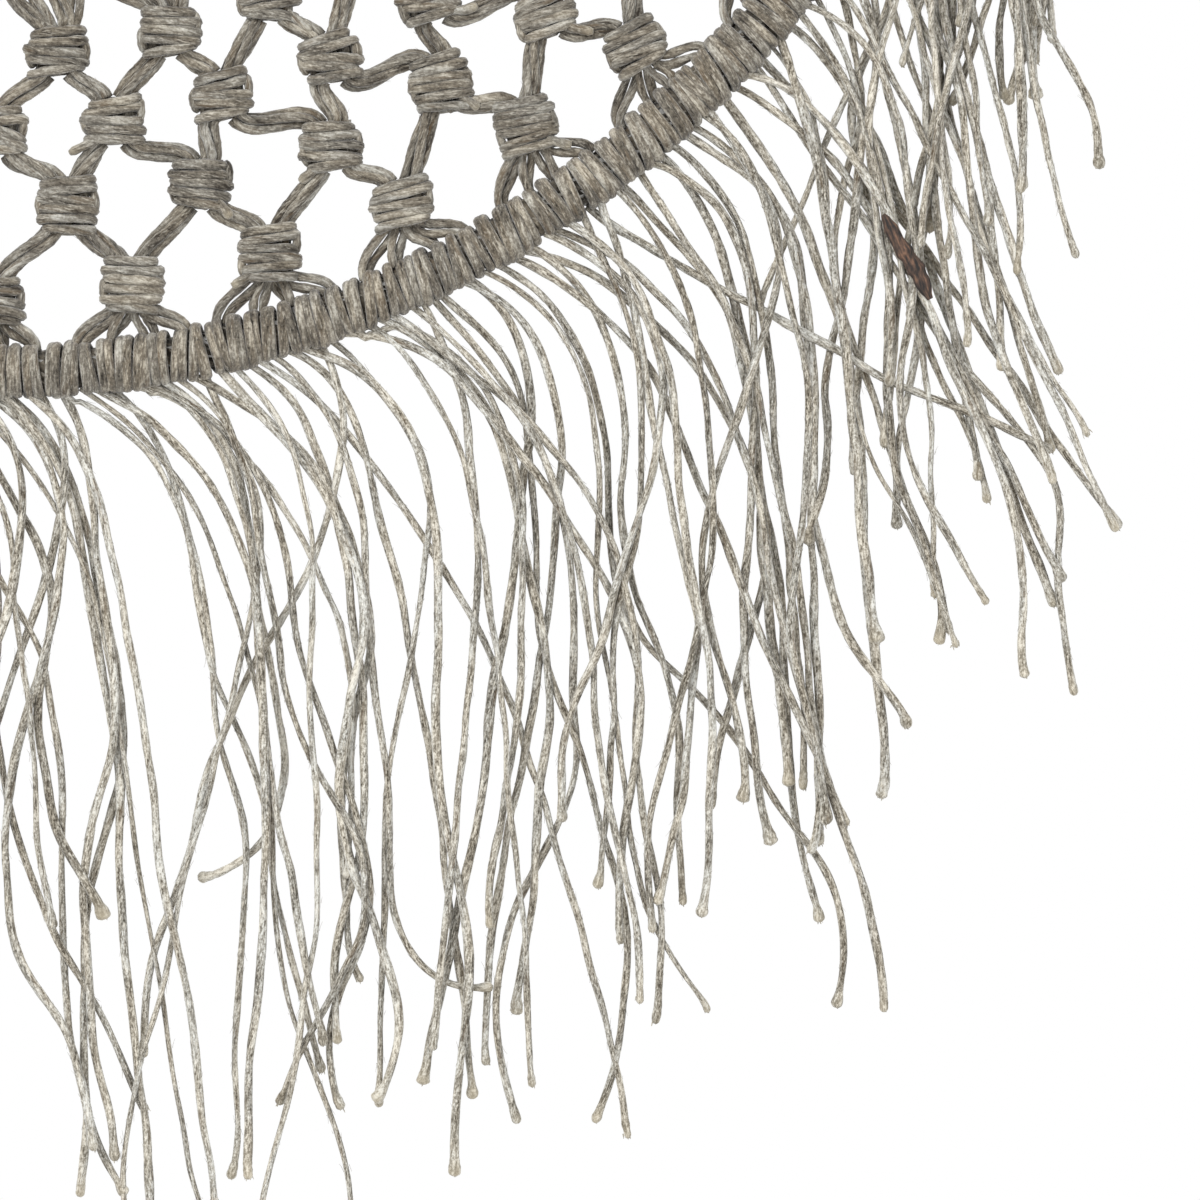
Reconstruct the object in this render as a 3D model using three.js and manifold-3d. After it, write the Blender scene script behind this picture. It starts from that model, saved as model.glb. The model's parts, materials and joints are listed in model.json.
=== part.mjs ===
// A hanging macrame planter: a cord-wrapped hoop filled with a net of square knots, with a long twine
// fringe along its lower half, a smaller wrapped ring in the middle of the net, and a knotted cradle that
// hangs in that ring and holds a plain ceramic pot.
//
// Millimetres, +Z up. The hoop stands in the XZ plane and its front faces -Y. The origin is the inside top
// of the metal hanging ring, where a hook carries the whole object.

import * as THREE from 'three';
import { mergeVertices } from 'three/addons/utils/BufferGeometryUtils.js';
import Module from 'manifold-3d';

const wasm = await Module();
wasm.setup();

// ---- Driving dimensions -------------------------------------------------------------------------

const GAP = 0.4;                    // clearance between neighbouring pieces
const CORD_SIDES = 8;               // facets round legs and wrapped sleeves
const BOUND_SIDES = 16;             // facets round gathering wraps and the tassel

const HANG_RING_RADIUS = 18;        // metal hanging ring, at the middle of its wire
const HANG_WIRE_RADIUS = 2;

const LOOP_WIDTH = 8;               // cord bundle that goes round the bottom of the hanging ring
const LOOP_THICKNESS = 3;
const LOOP_INNER_RADIUS = 2.9;
const LOOP_LEG = 12;

const WRAP_KNOT_RADIUS = 7;         // gathering wrap under the loop
const WRAP_KNOT_LENGTH = 30;
const WRAP_KNOT_TO_SINNET = 3;

const SINNET_WIDTH = 9;             // the two knotted straps that spread to the hoop
const SINNET_THICKNESS = 6;
const SINNET_TAPER = 12;            // length over which a strap narrows to the loop on the hoop
const SINNET_TIP_WIDTH = 4;
const SINNET_STANDOFF = 11.5;       // from a strap's tip to the middle of the hoop's wire
const SINNET_TOP_X = 5;
const STRAP_DROP = 140;             // height from the straps' tops to the hoop ties

const HOOP_RADIUS = 200;            // big hoop, at the middle of its wire
const HOOP_CORE_RADIUS = 3.7;
const HOOP_WRAP_INNER = 4.2;
const HOOP_WRAP_OUTER = 5.6;
const HOOP_TIE_ANGLE = 160;         // hanger ties, degrees each side of the hoop's bottom
const HOOP_TIE_BORE = 4.8;
const HOOP_TIE_OUTER = 6;
const HOOP_TIE_LENGTH = 12;
const HOOP_STEP = 5;                // degrees between the facets of the hoop
const HOOP_WRAPS = 9;               // sleeves round the hoop below its ties
const TIE_CLEARANCE = 2.2;          // from the end of a tie to the nearest sleeve

const INNER_RADIUS = 121;           // small ring, at the middle of its wire
const INNER_CORE_RADIUS = 2.5;
const INNER_WRAP_INNER = 3;
const INNER_WRAP_OUTER = 4.2;
const CRADLE_TIE_X = 72;            // where the cradle is tied to the small ring
const INNER_TIE_BORE = 3.4;
const INNER_TIE_OUTER = 4.2;
const INNER_TIE_LENGTH = 10;
const INNER_STEP = 6;
const INNER_WRAPS = 5;

const NET_COLUMNS = 42;             // square knots in each row round the hoop
const NET_ROWS = 4;
const NET_ROW_PITCH = 15.7;         // from the hoop to the first row, and from row to row
const NET_PANELS = 14;
const NET_THICKNESS = 6;
const NET_OUTER = 193;
const NET_INNER = INNER_RADIUS + INNER_WRAP_OUTER + GAP;
const KNOT_HALF_WIDTH = 5.6;
const MESH_HALF_HEIGHT = 10.5;      // half the radial height of one opening in the net
const PANEL_ARC_STEPS = 6;

const FRINGE_SPAN = 100;            // the fringe covers this many degrees each side of the bottom
const FRINGE_PANELS = 10;
const FRINGE_THICKNESS = 8;
const FRINGE_TOP_RADIUS = HOOP_RADIUS + HOOP_WRAP_OUTER + 1.5 * GAP;
const FRINGE_SETTLE = 30;           // drop over which a cord turns from its hitch to hanging straight
const FRINGE_ARC_STEPS = 8;
const FRINGE_EDGE_STEPS = 6;
const FRINGE_EDGE_GRADING = 1.6;    // above 1, an edge's points stand closer together near the hoop

// The fringe at a few angles from the hoop's bottom towards +X: how far the longest cords drop, and how
// far to the right of its hitch a cord hangs.
const FRINGE_SHAPE = [
  { angle: -100, drop: 100, drift: -12 },
  { angle: -80, drop: 108, drift: -8 },
  { angle: -60, drop: 128, drift: -6 },
  { angle: -40, drop: 156, drift: -6 },
  { angle: -20, drop: 168, drift: 6 },
  { angle: 0, drop: 180, drift: 18 },
  { angle: 20, drop: 170, drift: 32 },
  { angle: 40, drop: 160, drift: 34 },
  { angle: 60, drop: 128, drift: 20 },
  { angle: 80, drop: 108, drift: 8 },
  { angle: 100, drop: 100, drift: 12 },
];

const POT_RIM_RADIUS = 49;
const POT_BASE_RADIUS = 37;
const POT_HEIGHT = 90;
const POT_WALL = 4;
const POT_FLOOR = 5;
const POT_EDGE = 1.5;
const POT_RIM_Z = 34;               // above the hoop's middle

const TURNED_SIDES = 24;            // facets round the pot and its basket

const BASKET_WALL = 3;
const BASKET_GAP = 0.5;
const BASKET_COLUMNS = 8;
const BASKET_ROWS = 3;
const BASKET_ROW_PITCH = 23;
const BASKET_TOP_KNOTS = 12;        // height of the first row of knots above the hoop's middle
const BASKET_KNOT_HALF_WIDTH = 3.2;
const BASKET_MESH_HALF_HEIGHT = 18.5;
const BASKET_RIM_WIDENING = 1.4;    // how far the windows at the rim open out, as a share of their size
const BASKET_DISH = 5;              // how far the strands drop from under the pot to the gathering knot
const DISH_MARGIN = 3;              // solid rim inside and outside the windows under the pot
const DISH_STRAND_ANGLE = 16;       // degrees left solid between two of those windows

const LEG_RADIUS = 2.4;
const LEG_END_X = 38;
const LEG_TOP_Y = 4.5;
const NECK_WIDTH = 7;
const NECK_DEPTH = 12;
const NECK_LENGTH = 7;

const GATHER_RADIUS = 7;
const GATHER_LENGTH = 11;
const TASSEL_TOP_RADIUS = 6.5;
const TASSEL_END_RADIUS = 10.5;
const TASSEL_LENGTH = 34;

// ---- Derived places -----------------------------------------------------------------------------

const HANG_RING_Z = -(HANG_RING_RADIUS - HANG_WIRE_RADIUS);
const SWING_Z = HANG_RING_Z - HANG_RING_RADIUS;
const WRAP_KNOT_TOP = SWING_Z - LOOP_LEG - GAP;
const SINNET_TOP_Z = WRAP_KNOT_TOP - WRAP_KNOT_LENGTH - WRAP_KNOT_TO_SINNET;
const HOOP_TIE_Z = SINNET_TOP_Z - STRAP_DROP;
const HOOP_Z = HOOP_TIE_Z + HOOP_RADIUS * Math.cos(radians(HOOP_TIE_ANGLE));
const HOOP_TIE_X = HOOP_RADIUS * Math.sin(radians(HOOP_TIE_ANGLE));
const CRADLE_TIE_ANGLE = 180 - degrees(Math.asin(CRADLE_TIE_X / INNER_RADIUS));
const POT_BASE_Z = POT_RIM_Z - POT_HEIGHT;

// ---- Materials ----------------------------------------------------------------------------------

const twine = new THREE.MeshStandardMaterial({ color: 0x9a958b, roughness: 0.9, metalness: 0 });
const wrappedTwine = new THREE.MeshStandardMaterial({ color: 0x888175, roughness: 0.9, metalness: 0 });
const steel = new THREE.MeshStandardMaterial({ color: 0x8f9194, roughness: 0.45, metalness: 1 });
const ceramic = new THREE.MeshStandardMaterial({ color: 0xe6e0d4, roughness: 0.55, metalness: 0 });

// ---- Helpers ------------------------------------------------------------------------------------

function radians(angle) {
  return (angle * Math.PI) / 180;
}

function degrees(angle) {
  return (angle * 180) / Math.PI;
}

// A point in the plane of the hoop, at an angle counted from the bottom towards +X.
function onCircle(radius, angle) {
  return new THREE.Vector2(radius * Math.sin(radians(angle)), -radius * Math.cos(radians(angle)));
}

// An arc of the hoop's plane, from one angle to another.
class HoopArc extends THREE.Curve {
  constructor(radius, from, to) {
    super();
    this.radius = radius;
    this.from = from;
    this.to = to;
  }

  getPoint(t, target = new THREE.Vector3()) {
    const place = onCircle(this.radius, this.from + (this.to - this.from) * t);
    return target.set(place.x, 0, place.y);
  }
}

function roundSection(radius, sides) {
  const section = new THREE.Shape();
  for (let i = 0; i < sides; i += 1) {
    const turn = (2 * Math.PI * (i + 0.5)) / sides;
    const x = radius * Math.cos(turn);
    const y = radius * Math.sin(turn);
    if (i === 0) section.moveTo(x, y);
    else section.lineTo(x, y);
  }
  section.closePath();
  return section;
}

function positionsOnly(geometry) {
  const bare = geometry.clone();
  bare.deleteAttribute('normal');
  bare.deleteAttribute('uv');
  return mergeVertices(bare, 1e-4);
}

function toSolid(geometry) {
  const merged = positionsOnly(geometry);
  return new wasm.Manifold(new wasm.Mesh({
    numProp: 3,
    vertProperties: new Float32Array(merged.attributes.position.array),
    triVerts: new Uint32Array(merged.index.array),
  }));
}

function toGeometry(solid) {
  const cut = solid.getMesh();
  const geometry = new THREE.BufferGeometry();
  geometry.setAttribute('position', new THREE.BufferAttribute(cut.vertProperties, 3));
  geometry.setIndex(new THREE.BufferAttribute(cut.triVerts, 1));
  geometry.computeVertexNormals();
  return geometry;
}

// A flat plate in the hoop's plane, with its thickness centred on that plane.
function plate(points, thickness) {
  const geometry = new THREE.ExtrudeGeometry(new THREE.Shape(points), {
    depth: thickness,
    bevelEnabled: false,
  });
  geometry.translate(0, 0, -thickness / 2);
  geometry.rotateX(Math.PI / 2);
  return geometry;
}

// A solid of revolution about the Z axis, from points of radius and height.
function turned(profile) {
  const outline = profile.map(([r, z]) => new THREE.Vector2(r, z));
  const geometry = new THREE.LatheGeometry(outline, TURNED_SIDES);
  geometry.rotateX(Math.PI / 2);
  return geometry;
}

// A hollow tube round a circle in the hoop's plane, open at both ends.
function wrapSleeve(radius, bore, outer, from, to, step) {
  const section = roundSection(outer, CORD_SIDES);
  section.holes.push(roundSection(bore, CORD_SIDES));
  return new THREE.ExtrudeGeometry(section, {
    steps: Math.max(2, Math.round((to - from) / step)),
    bevelEnabled: false,
    extrudePath: new HoopArc(radius, from, to),
  });
}

// A round bar or cone along Z, centred on its middle.
function upright(topRadius, endRadius, length) {
  const geometry = new THREE.CylinderGeometry(topRadius, endRadius, length, BOUND_SIDES);
  geometry.rotateX(Math.PI / 2);
  return geometry;
}

function add(parent, name, geometry, material) {
  const mesh = new THREE.Mesh(geometry, material);
  mesh.name = name;
  parent.add(mesh);
  return mesh;
}

function numbered(base, index) {
  return `${base}_${String(index + 1).padStart(2, '0')}`;
}

// ---- Hanging ring and hanger --------------------------------------------------------------------

function hangingRing() {
  const geometry = new THREE.TorusGeometry(HANG_RING_RADIUS, HANG_WIRE_RADIUS, 8, 28);
  geometry.rotateX(Math.PI / 2);
  return geometry;
}

// The cord bundle passes through the ring and down in front of it and behind it.
function hangerLoop() {
  const outline = new THREE.Shape();
  const outer = LOOP_INNER_RADIUS + LOOP_THICKNESS;
  outline.moveTo(outer, -LOOP_LEG);
  outline.lineTo(outer, 0);
  outline.absarc(0, 0, outer, 0, Math.PI, false);
  outline.lineTo(-outer, -LOOP_LEG);
  outline.lineTo(-LOOP_INNER_RADIUS, -LOOP_LEG);
  outline.lineTo(-LOOP_INNER_RADIUS, 0);
  outline.absarc(0, 0, LOOP_INNER_RADIUS, Math.PI, 0, true);
  outline.lineTo(LOOP_INNER_RADIUS, -LOOP_LEG);
  outline.closePath();
  const geometry = new THREE.ExtrudeGeometry(outline, {
    depth: LOOP_WIDTH,
    bevelEnabled: false,
    curveSegments: 8,
  });
  geometry.translate(0, 0, -LOOP_WIDTH / 2);
  geometry.rotateX(Math.PI / 2);
  geometry.rotateZ(Math.PI / 2);
  return geometry;
}

function hangerSinnet(side) {
  const run = HOOP_TIE_X - SINNET_TOP_X;
  const length = Math.hypot(run, STRAP_DROP) - SINNET_STANDOFF;
  const half = SINNET_WIDTH / 2;
  const tip = SINNET_TIP_WIDTH / 2;
  const points = [
    new THREE.Vector2(-half, 0),
    new THREE.Vector2(-half, -length + SINNET_TAPER),
    new THREE.Vector2(-tip, -length),
    new THREE.Vector2(tip, -length),
    new THREE.Vector2(half, -length + SINNET_TAPER),
    new THREE.Vector2(half, 0),
  ];
  const geometry = plate(points, SINNET_THICKNESS);
  geometry.rotateY(-side * Math.atan2(run, STRAP_DROP));
  return geometry;
}

function buildHanger(parent) {
  add(parent, 'hanger_loop', hangerLoop(), twine).position.z = SWING_Z;
  add(parent, 'gathering_wrap', upright(WRAP_KNOT_RADIUS, WRAP_KNOT_RADIUS, WRAP_KNOT_LENGTH), wrappedTwine)
    .position.z = WRAP_KNOT_TOP - WRAP_KNOT_LENGTH / 2;
  const tieHalfAngle = degrees(HOOP_TIE_LENGTH / 2 / HOOP_RADIUS);
  for (const [label, side] of [['left', -1], ['right', 1]]) {
    add(parent, `${label}_hanger_sinnet`, hangerSinnet(side), twine)
      .position.set(side * SINNET_TOP_X, 0, SINNET_TOP_Z);
    const angle = side * HOOP_TIE_ANGLE;
    add(parent, `${label}_hoop_tie`, wrapSleeve(HOOP_RADIUS, HOOP_TIE_BORE, HOOP_TIE_OUTER,
      angle - tieHalfAngle, angle + tieHalfAngle, HOOP_STEP), wrappedTwine).position.z = HOOP_Z;
  }
}

// ---- Hoop, small ring and net -------------------------------------------------------------------

// The wraps cover a ring all round but stop short of the two places where cords are tied to it.
function buildWraps(parent, base, size) {
  const clear = degrees((size.tieLength / 2 + TIE_CLEARANCE) / size.radius);
  const split = degrees(GAP / 2 / size.radius);
  const stretches = [
    { from: -size.tieAngle + clear, to: size.tieAngle - clear, count: size.lowerCount },
    { from: size.tieAngle + clear, to: 360 - size.tieAngle - clear, count: 1 },
  ];
  let index = 0;
  for (const { from, to, count } of stretches) {
    const span = (to - from) / count;
    for (let i = 0; i < count; i += 1) {
      add(parent, numbered(base, index), wrapSleeve(size.radius, size.bore, size.outer,
        from + i * span + split, from + (i + 1) * span - split, size.step), wrappedTwine);
      index += 1;
    }
  }
}

function ringCore(radius, wire, sides, step) {
  const geometry = new THREE.TorusGeometry(radius, wire, sides, 360 / step);
  geometry.rotateX(Math.PI / 2);
  return geometry;
}

function annularSector(inner, outer, from, to, steps) {
  const points = [];
  for (let i = 0; i <= steps; i += 1) points.push(onCircle(outer, from + ((to - from) * i) / steps));
  for (let i = steps; i >= 0; i -= 1) points.push(onCircle(inner, from + ((to - from) * i) / steps));
  return points;
}

// One opening of the net: a diamond between two knots of a row.
function netMesh(radius, angle) {
  const halfPitch = (Math.PI * radius) / NET_COLUMNS;
  const halfWidth = degrees((halfPitch - KNOT_HALF_WIDTH) / radius);
  const points = [
    onCircle(radius + MESH_HALF_HEIGHT, angle),
    onCircle(radius, angle - halfWidth),
    onCircle(radius - MESH_HALF_HEIGHT, angle),
    onCircle(radius, angle + halfWidth),
  ];
  return toSolid(plate(points, 1.5 * NET_THICKNESS));
}

// Knots of the first row stand at whole pitches from the bottom of the hoop, and those of the next row
// half a pitch on, so each row's openings lie half a pitch from its knots.
function netPanel(index) {
  const pitch = 360 / NET_COLUMNS;
  const columns = NET_COLUMNS / NET_PANELS;
  const split = degrees(GAP / 2 / NET_INNER);
  const from = (index * columns - 0.5) * pitch + split;
  const to = ((index + 1) * columns - 0.5) * pitch - split;
  const sector = annularSector(NET_INNER, NET_OUTER, from, to, PANEL_ARC_STEPS);
  let panel = toSolid(plate(sector, NET_THICKNESS));
  for (let row = 0; row < NET_ROWS; row += 1) {
    const radius = HOOP_RADIUS - NET_ROW_PITCH * (row + 1);
    const stagger = row % 2 === 0 ? 0.5 : 0;
    for (let i = -1; i <= columns; i += 1) {
      panel = panel.subtract(netMesh(radius, (index * columns + i + stagger) * pitch));
    }
  }
  return toGeometry(panel);
}

// ---- Fringe -------------------------------------------------------------------------------------

// The fringe's drop or drift at any angle, between the rows of its table.
function fringeShape(key, angle) {
  const last = FRINGE_SHAPE.length - 2;
  const found = FRINGE_SHAPE.findLastIndex((row) => row.angle <= angle);
  const row = Math.min(Math.max(found, 0), last);
  const before = FRINGE_SHAPE[row];
  const after = FRINGE_SHAPE[row + 1];
  const share = (angle - before.angle) / (after.angle - before.angle);
  return before[key] + (after[key] - before[key]) * share;
}

// One side of a panel, from just under the hoop to its lowest point, moved sideways by half a clearance.
function fringeEdge(angle, shift) {
  const top = onCircle(FRINGE_TOP_RADIUS, angle);
  const points = [];
  for (let i = 1; i <= FRINGE_EDGE_STEPS; i += 1) {
    const drop = fringeShape('drop', angle) * (i / FRINGE_EDGE_STEPS) ** FRINGE_EDGE_GRADING;
    const drift = fringeShape('drift', angle) * (1 - Math.exp(-drop / FRINGE_SETTLE));
    points.push(new THREE.Vector2(top.x + drift + shift, top.y - drop));
  }
  return points;
}

function fringePanel(index) {
  const span = (2 * FRINGE_SPAN) / FRINGE_PANELS;
  const split = degrees(GAP / FRINGE_TOP_RADIUS);
  const from = -FRINGE_SPAN + index * span;
  const to = from + span;
  const points = [];
  for (let i = 0; i <= FRINGE_ARC_STEPS; i += 1) {
    points.push(onCircle(FRINGE_TOP_RADIUS, to - split - ((span - 2 * split) * i) / FRINGE_ARC_STEPS));
  }
  points.push(...fringeEdge(from, GAP));
  points.push(...fringeEdge(to, -GAP).reverse());
  return plate(points, FRINGE_THICKNESS);
}

function buildHoop(parent) {
  add(parent, 'hoop_core', ringCore(HOOP_RADIUS, HOOP_CORE_RADIUS, 6, HOOP_STEP), steel);
  buildWraps(parent, 'hoop_wrap', {
    radius: HOOP_RADIUS,
    bore: HOOP_WRAP_INNER,
    outer: HOOP_WRAP_OUTER,
    tieAngle: HOOP_TIE_ANGLE,
    tieLength: HOOP_TIE_LENGTH,
    lowerCount: HOOP_WRAPS,
    step: HOOP_STEP,
  });
  add(parent, 'inner_ring_core', ringCore(INNER_RADIUS, INNER_CORE_RADIUS, 6, INNER_STEP), steel);
  buildWraps(parent, 'inner_ring_wrap', {
    radius: INNER_RADIUS,
    bore: INNER_WRAP_INNER,
    outer: INNER_WRAP_OUTER,
    tieAngle: CRADLE_TIE_ANGLE,
    tieLength: INNER_TIE_LENGTH,
    lowerCount: INNER_WRAPS,
    step: INNER_STEP,
  });
  for (let i = 0; i < NET_PANELS; i += 1) add(parent, numbered('net_panel', i), netPanel(i), twine);
  for (let i = 0; i < FRINGE_PANELS; i += 1) add(parent, numbered('fringe', i), fringePanel(i), twine);
}

// ---- Cradle and pot -----------------------------------------------------------------------------

// A sleeve round the small ring with a neck towards its middle, where the two legs start.
function cradleTie(side) {
  const halfAngle = degrees(INNER_TIE_LENGTH / 2 / INNER_RADIUS);
  const angle = side * CRADLE_TIE_ANGLE;
  const sleeve = wrapSleeve(INNER_RADIUS, INNER_TIE_BORE, INNER_TIE_OUTER,
    angle - halfAngle, angle + halfAngle, INNER_STEP / 2);
  const neck = new THREE.BoxGeometry(NECK_WIDTH, NECK_DEPTH, NECK_LENGTH);
  neck.translate(0, 0, -INNER_RADIUS + (INNER_TIE_BORE + INNER_TIE_OUTER) / 2 + NECK_LENGTH / 2);
  neck.rotateY(-radians(angle));
  return toGeometry(toSolid(sleeve).add(toSolid(neck)));
}

function cradleLeg(side, front) {
  const neckEnd = INNER_RADIUS - (INNER_TIE_BORE + INNER_TIE_OUTER) / 2 - NECK_LENGTH;
  const start = onCircle(neckEnd - LEG_RADIUS - GAP, side * CRADLE_TIE_ANGLE);
  const top = new THREE.Vector3(start.x, front * LEG_TOP_Y, start.y);
  const end = new THREE.Vector3(side * LEG_END_X, front * LEG_END_X, POT_RIM_Z + LEG_RADIUS / 2 + GAP);
  return new THREE.ExtrudeGeometry(roundSection(LEG_RADIUS, CORD_SIDES), {
    steps: 1,
    bevelEnabled: false,
    extrudePath: new THREE.LineCurve3(top, end),
  });
}

function potRadius(z) {
  return POT_BASE_RADIUS + ((POT_RIM_RADIUS - POT_BASE_RADIUS) * (z - POT_BASE_Z)) / POT_HEIGHT;
}

// A window through the basket's wall, between two knots of a row; the top ones widen to the rim.
function basketWindow(column, height, openTop) {
  const rise = BASKET_MESH_HALF_HEIGHT;
  const half = (Math.PI * (potRadius(height) + BASKET_WALL)) / BASKET_COLUMNS - BASKET_KNOT_HALF_WIDTH;
  const points = [new THREE.Vector2(0, -rise), new THREE.Vector2(half, 0)];
  if (openTop) {
    const spread = (1 + BASKET_RIM_WIDENING) * half;
    points.push(new THREE.Vector2(spread, BASKET_RIM_WIDENING * rise));
    points.push(new THREE.Vector2(-spread, BASKET_RIM_WIDENING * rise));
  } else {
    points.push(new THREE.Vector2(0, rise));
  }
  points.push(new THREE.Vector2(-half, 0));
  const reach = 2 * POT_RIM_RADIUS;
  const geometry = plate(points, reach);
  geometry.translate(0, -reach / 2 - POT_BASE_RADIUS / 2, height);
  geometry.rotateZ((2 * Math.PI * column) / BASKET_COLUMNS);
  return toSolid(geometry);
}

// A window through the dish of strands under the pot.
function floorWindow(column) {
  const inner = GATHER_RADIUS + DISH_MARGIN;
  const outer = POT_BASE_RADIUS - DISH_MARGIN;
  const half = Math.PI / BASKET_COLUMNS - radians(DISH_STRAND_ANGLE / 2);
  const shape = new THREE.Shape([
    new THREE.Vector2(inner, 0),
    new THREE.Vector2(outer * Math.cos(half), -outer * Math.sin(half)),
    new THREE.Vector2(outer * Math.cos(half), outer * Math.sin(half)),
  ]);
  const geometry = new THREE.ExtrudeGeometry(shape, { depth: 4 * BASKET_DISH, bevelEnabled: false });
  geometry.translate(0, 0, POT_BASE_Z - 3 * BASKET_DISH);
  geometry.rotateZ((2 * Math.PI * column) / BASKET_COLUMNS);
  return toSolid(geometry);
}

function basket() {
  const top = POT_RIM_Z;
  const floor = POT_BASE_Z - BASKET_GAP;
  const inside = (z) => potRadius(z) + BASKET_GAP;
  const profile = [
    [0, floor - BASKET_DISH],
    [GATHER_RADIUS, floor - BASKET_DISH],
    [inside(floor) - BASKET_WALL, floor - BASKET_WALL],
    [inside(floor) + BASKET_WALL, floor],
    [inside(top) + BASKET_WALL, top],
    [inside(top), top],
    [inside(floor), floor],
    [0, floor],
  ];
  let shell = toSolid(turned(profile));
  for (let row = 0; row < BASKET_ROWS; row += 1) {
    const height = BASKET_TOP_KNOTS - row * BASKET_ROW_PITCH;
    for (let i = 0; i < BASKET_COLUMNS; i += 1) {
      const betweenLegs = row === 0 && i % 2 === 0;
      shell = shell.subtract(basketWindow(i + (row % 2) / 2, height, betweenLegs));
    }
  }
  for (let i = 0; i < BASKET_COLUMNS; i += 1) shell = shell.subtract(floorWindow(i + 0.5));
  return toGeometry(shell);
}

function buildCradle(parent) {
  for (const [label, side] of [['left', -1], ['right', 1]]) {
    add(parent, `${label}_cradle_tie`, cradleTie(side), wrappedTwine);
    add(parent, `${label}_front_leg`, cradleLeg(side, -1), twine);
    add(parent, `${label}_back_leg`, cradleLeg(side, 1), twine);
  }
  add(parent, 'pot_basket', basket(), twine);
  const gatherTop = POT_BASE_Z - BASKET_GAP - BASKET_DISH - GAP;
  add(parent, 'gathering_knot', upright(GATHER_RADIUS, GATHER_RADIUS, GATHER_LENGTH), wrappedTwine)
    .position.z = gatherTop - GATHER_LENGTH / 2;
  add(parent, 'tassel', upright(TASSEL_TOP_RADIUS, TASSEL_END_RADIUS, TASSEL_LENGTH), twine)
    .position.z = gatherTop - GATHER_LENGTH - GAP - TASSEL_LENGTH / 2;
}

function pot() {
  const innerBase = POT_BASE_RADIUS - POT_WALL;
  const innerRim = POT_RIM_RADIUS - POT_WALL;
  return turned([
    [0, POT_BASE_Z],
    [POT_BASE_RADIUS - POT_EDGE, POT_BASE_Z],
    [POT_BASE_RADIUS, POT_BASE_Z + POT_EDGE],
    [POT_RIM_RADIUS, POT_RIM_Z - POT_EDGE],
    [POT_RIM_RADIUS - POT_EDGE, POT_RIM_Z],
    [innerRim + POT_EDGE / 2, POT_RIM_Z],
    [innerRim, POT_RIM_Z - POT_EDGE],
    [innerBase, POT_BASE_Z + POT_FLOOR],
    [0, POT_BASE_Z + POT_FLOOR],
  ]);
}

// ---- Assembly -----------------------------------------------------------------------------------

const group = new THREE.Group();
add(group, 'hanging_ring', hangingRing(), steel).position.z = HANG_RING_Z;
buildHanger(group);

const hoop = new THREE.Group();
hoop.position.z = HOOP_Z;
buildHoop(hoop);
buildCradle(hoop);
add(hoop, 'pot', pot(), ceramic);
group.add(hoop);

export default group;
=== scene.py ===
"""Blender model of the hanging macrame planter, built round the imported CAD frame.

Everything that is twine is made here as swept cords: the free fringe, the windings of the hoop and of the
small ring, the net of square knots, the hanger, the cradle and its tassel. Metres, +Z up, front towards -Y.
"""

import json
import math

import bpy
import numpy as np
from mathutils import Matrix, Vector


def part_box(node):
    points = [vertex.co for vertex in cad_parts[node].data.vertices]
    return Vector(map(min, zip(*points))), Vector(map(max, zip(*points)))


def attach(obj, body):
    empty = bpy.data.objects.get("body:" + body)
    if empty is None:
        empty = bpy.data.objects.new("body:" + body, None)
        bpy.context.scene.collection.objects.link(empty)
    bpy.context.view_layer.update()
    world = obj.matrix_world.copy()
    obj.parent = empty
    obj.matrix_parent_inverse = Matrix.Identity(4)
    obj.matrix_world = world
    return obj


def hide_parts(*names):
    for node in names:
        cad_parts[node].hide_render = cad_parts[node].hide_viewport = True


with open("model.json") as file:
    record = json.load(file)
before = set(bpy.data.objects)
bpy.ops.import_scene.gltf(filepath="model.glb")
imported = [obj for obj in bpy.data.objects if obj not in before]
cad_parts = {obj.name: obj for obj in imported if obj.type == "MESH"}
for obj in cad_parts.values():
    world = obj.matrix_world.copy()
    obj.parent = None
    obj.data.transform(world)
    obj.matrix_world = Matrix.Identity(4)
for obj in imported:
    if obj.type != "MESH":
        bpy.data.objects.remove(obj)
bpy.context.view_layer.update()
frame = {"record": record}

# ---- Driving dimensions ----------------------------------

MM = 0.001
TWINE = 1.8 * MM                    # diameter of the single twine that everything is knotted from

HOOP_LO, HOOP_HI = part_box("hoop_core")
HOOP_WIRE = 3.7 * MM
HOOP_R = (HOOP_HI[0] - HOOP_LO[0]) / 2 - HOOP_WIRE
HOOP_Z = (HOOP_HI[2] + HOOP_LO[2]) / 2
INNER_LO, INNER_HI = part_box("inner_ring_core")
INNER_WIRE = 2.5 * MM
INNER_R = (INNER_HI[0] - INNER_LO[0]) / 2 - INNER_WIRE

COLUMNS = 42                        # square knots in each row of the net
PITCH = 360 / COLUMNS
ROWS = 4
PANELS = 14
FRINGE_SPAN = 100                   # degrees each side of the hoop's bottom
FRINGE_SECTORS = 10
DECLARED_CORDS = 40

HOOP_WIND_R = 4.7 * MM              # from the middle of each wire to the middle of the twine wound on it
INNER_WIND_R = 3.3 * MM
BUNDLE_TONE = -2.4                  # the carried cords under a winding lie in its shadow

rng = np.random.default_rng(20)


# ---- Camera, light and surroundings ----------------------

def add_object(name, data):
    made = bpy.data.objects.new(name, data)
    bpy.context.scene.collection.objects.link(made)
    return made


def build_camera():
    """A long lens square on to the hoop, framing its lower right part and the fringe under it."""
    view_width = 235.8 * MM
    aim = (119.1 * MM, HOOP_Z - 244.8 * MM)
    distance = 1.6
    data = bpy.data.cameras.new("camera")
    data.sensor_width = 36
    data.lens = data.sensor_width * distance / view_width
    data.clip_start = 0.05
    data.clip_end = 20
    camera = add_object("camera", data)
    camera.location = (aim[0], -distance, aim[1])
    camera.rotation_euler = (math.pi / 2, 0, 0)
    bpy.context.scene.camera = camera


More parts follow.
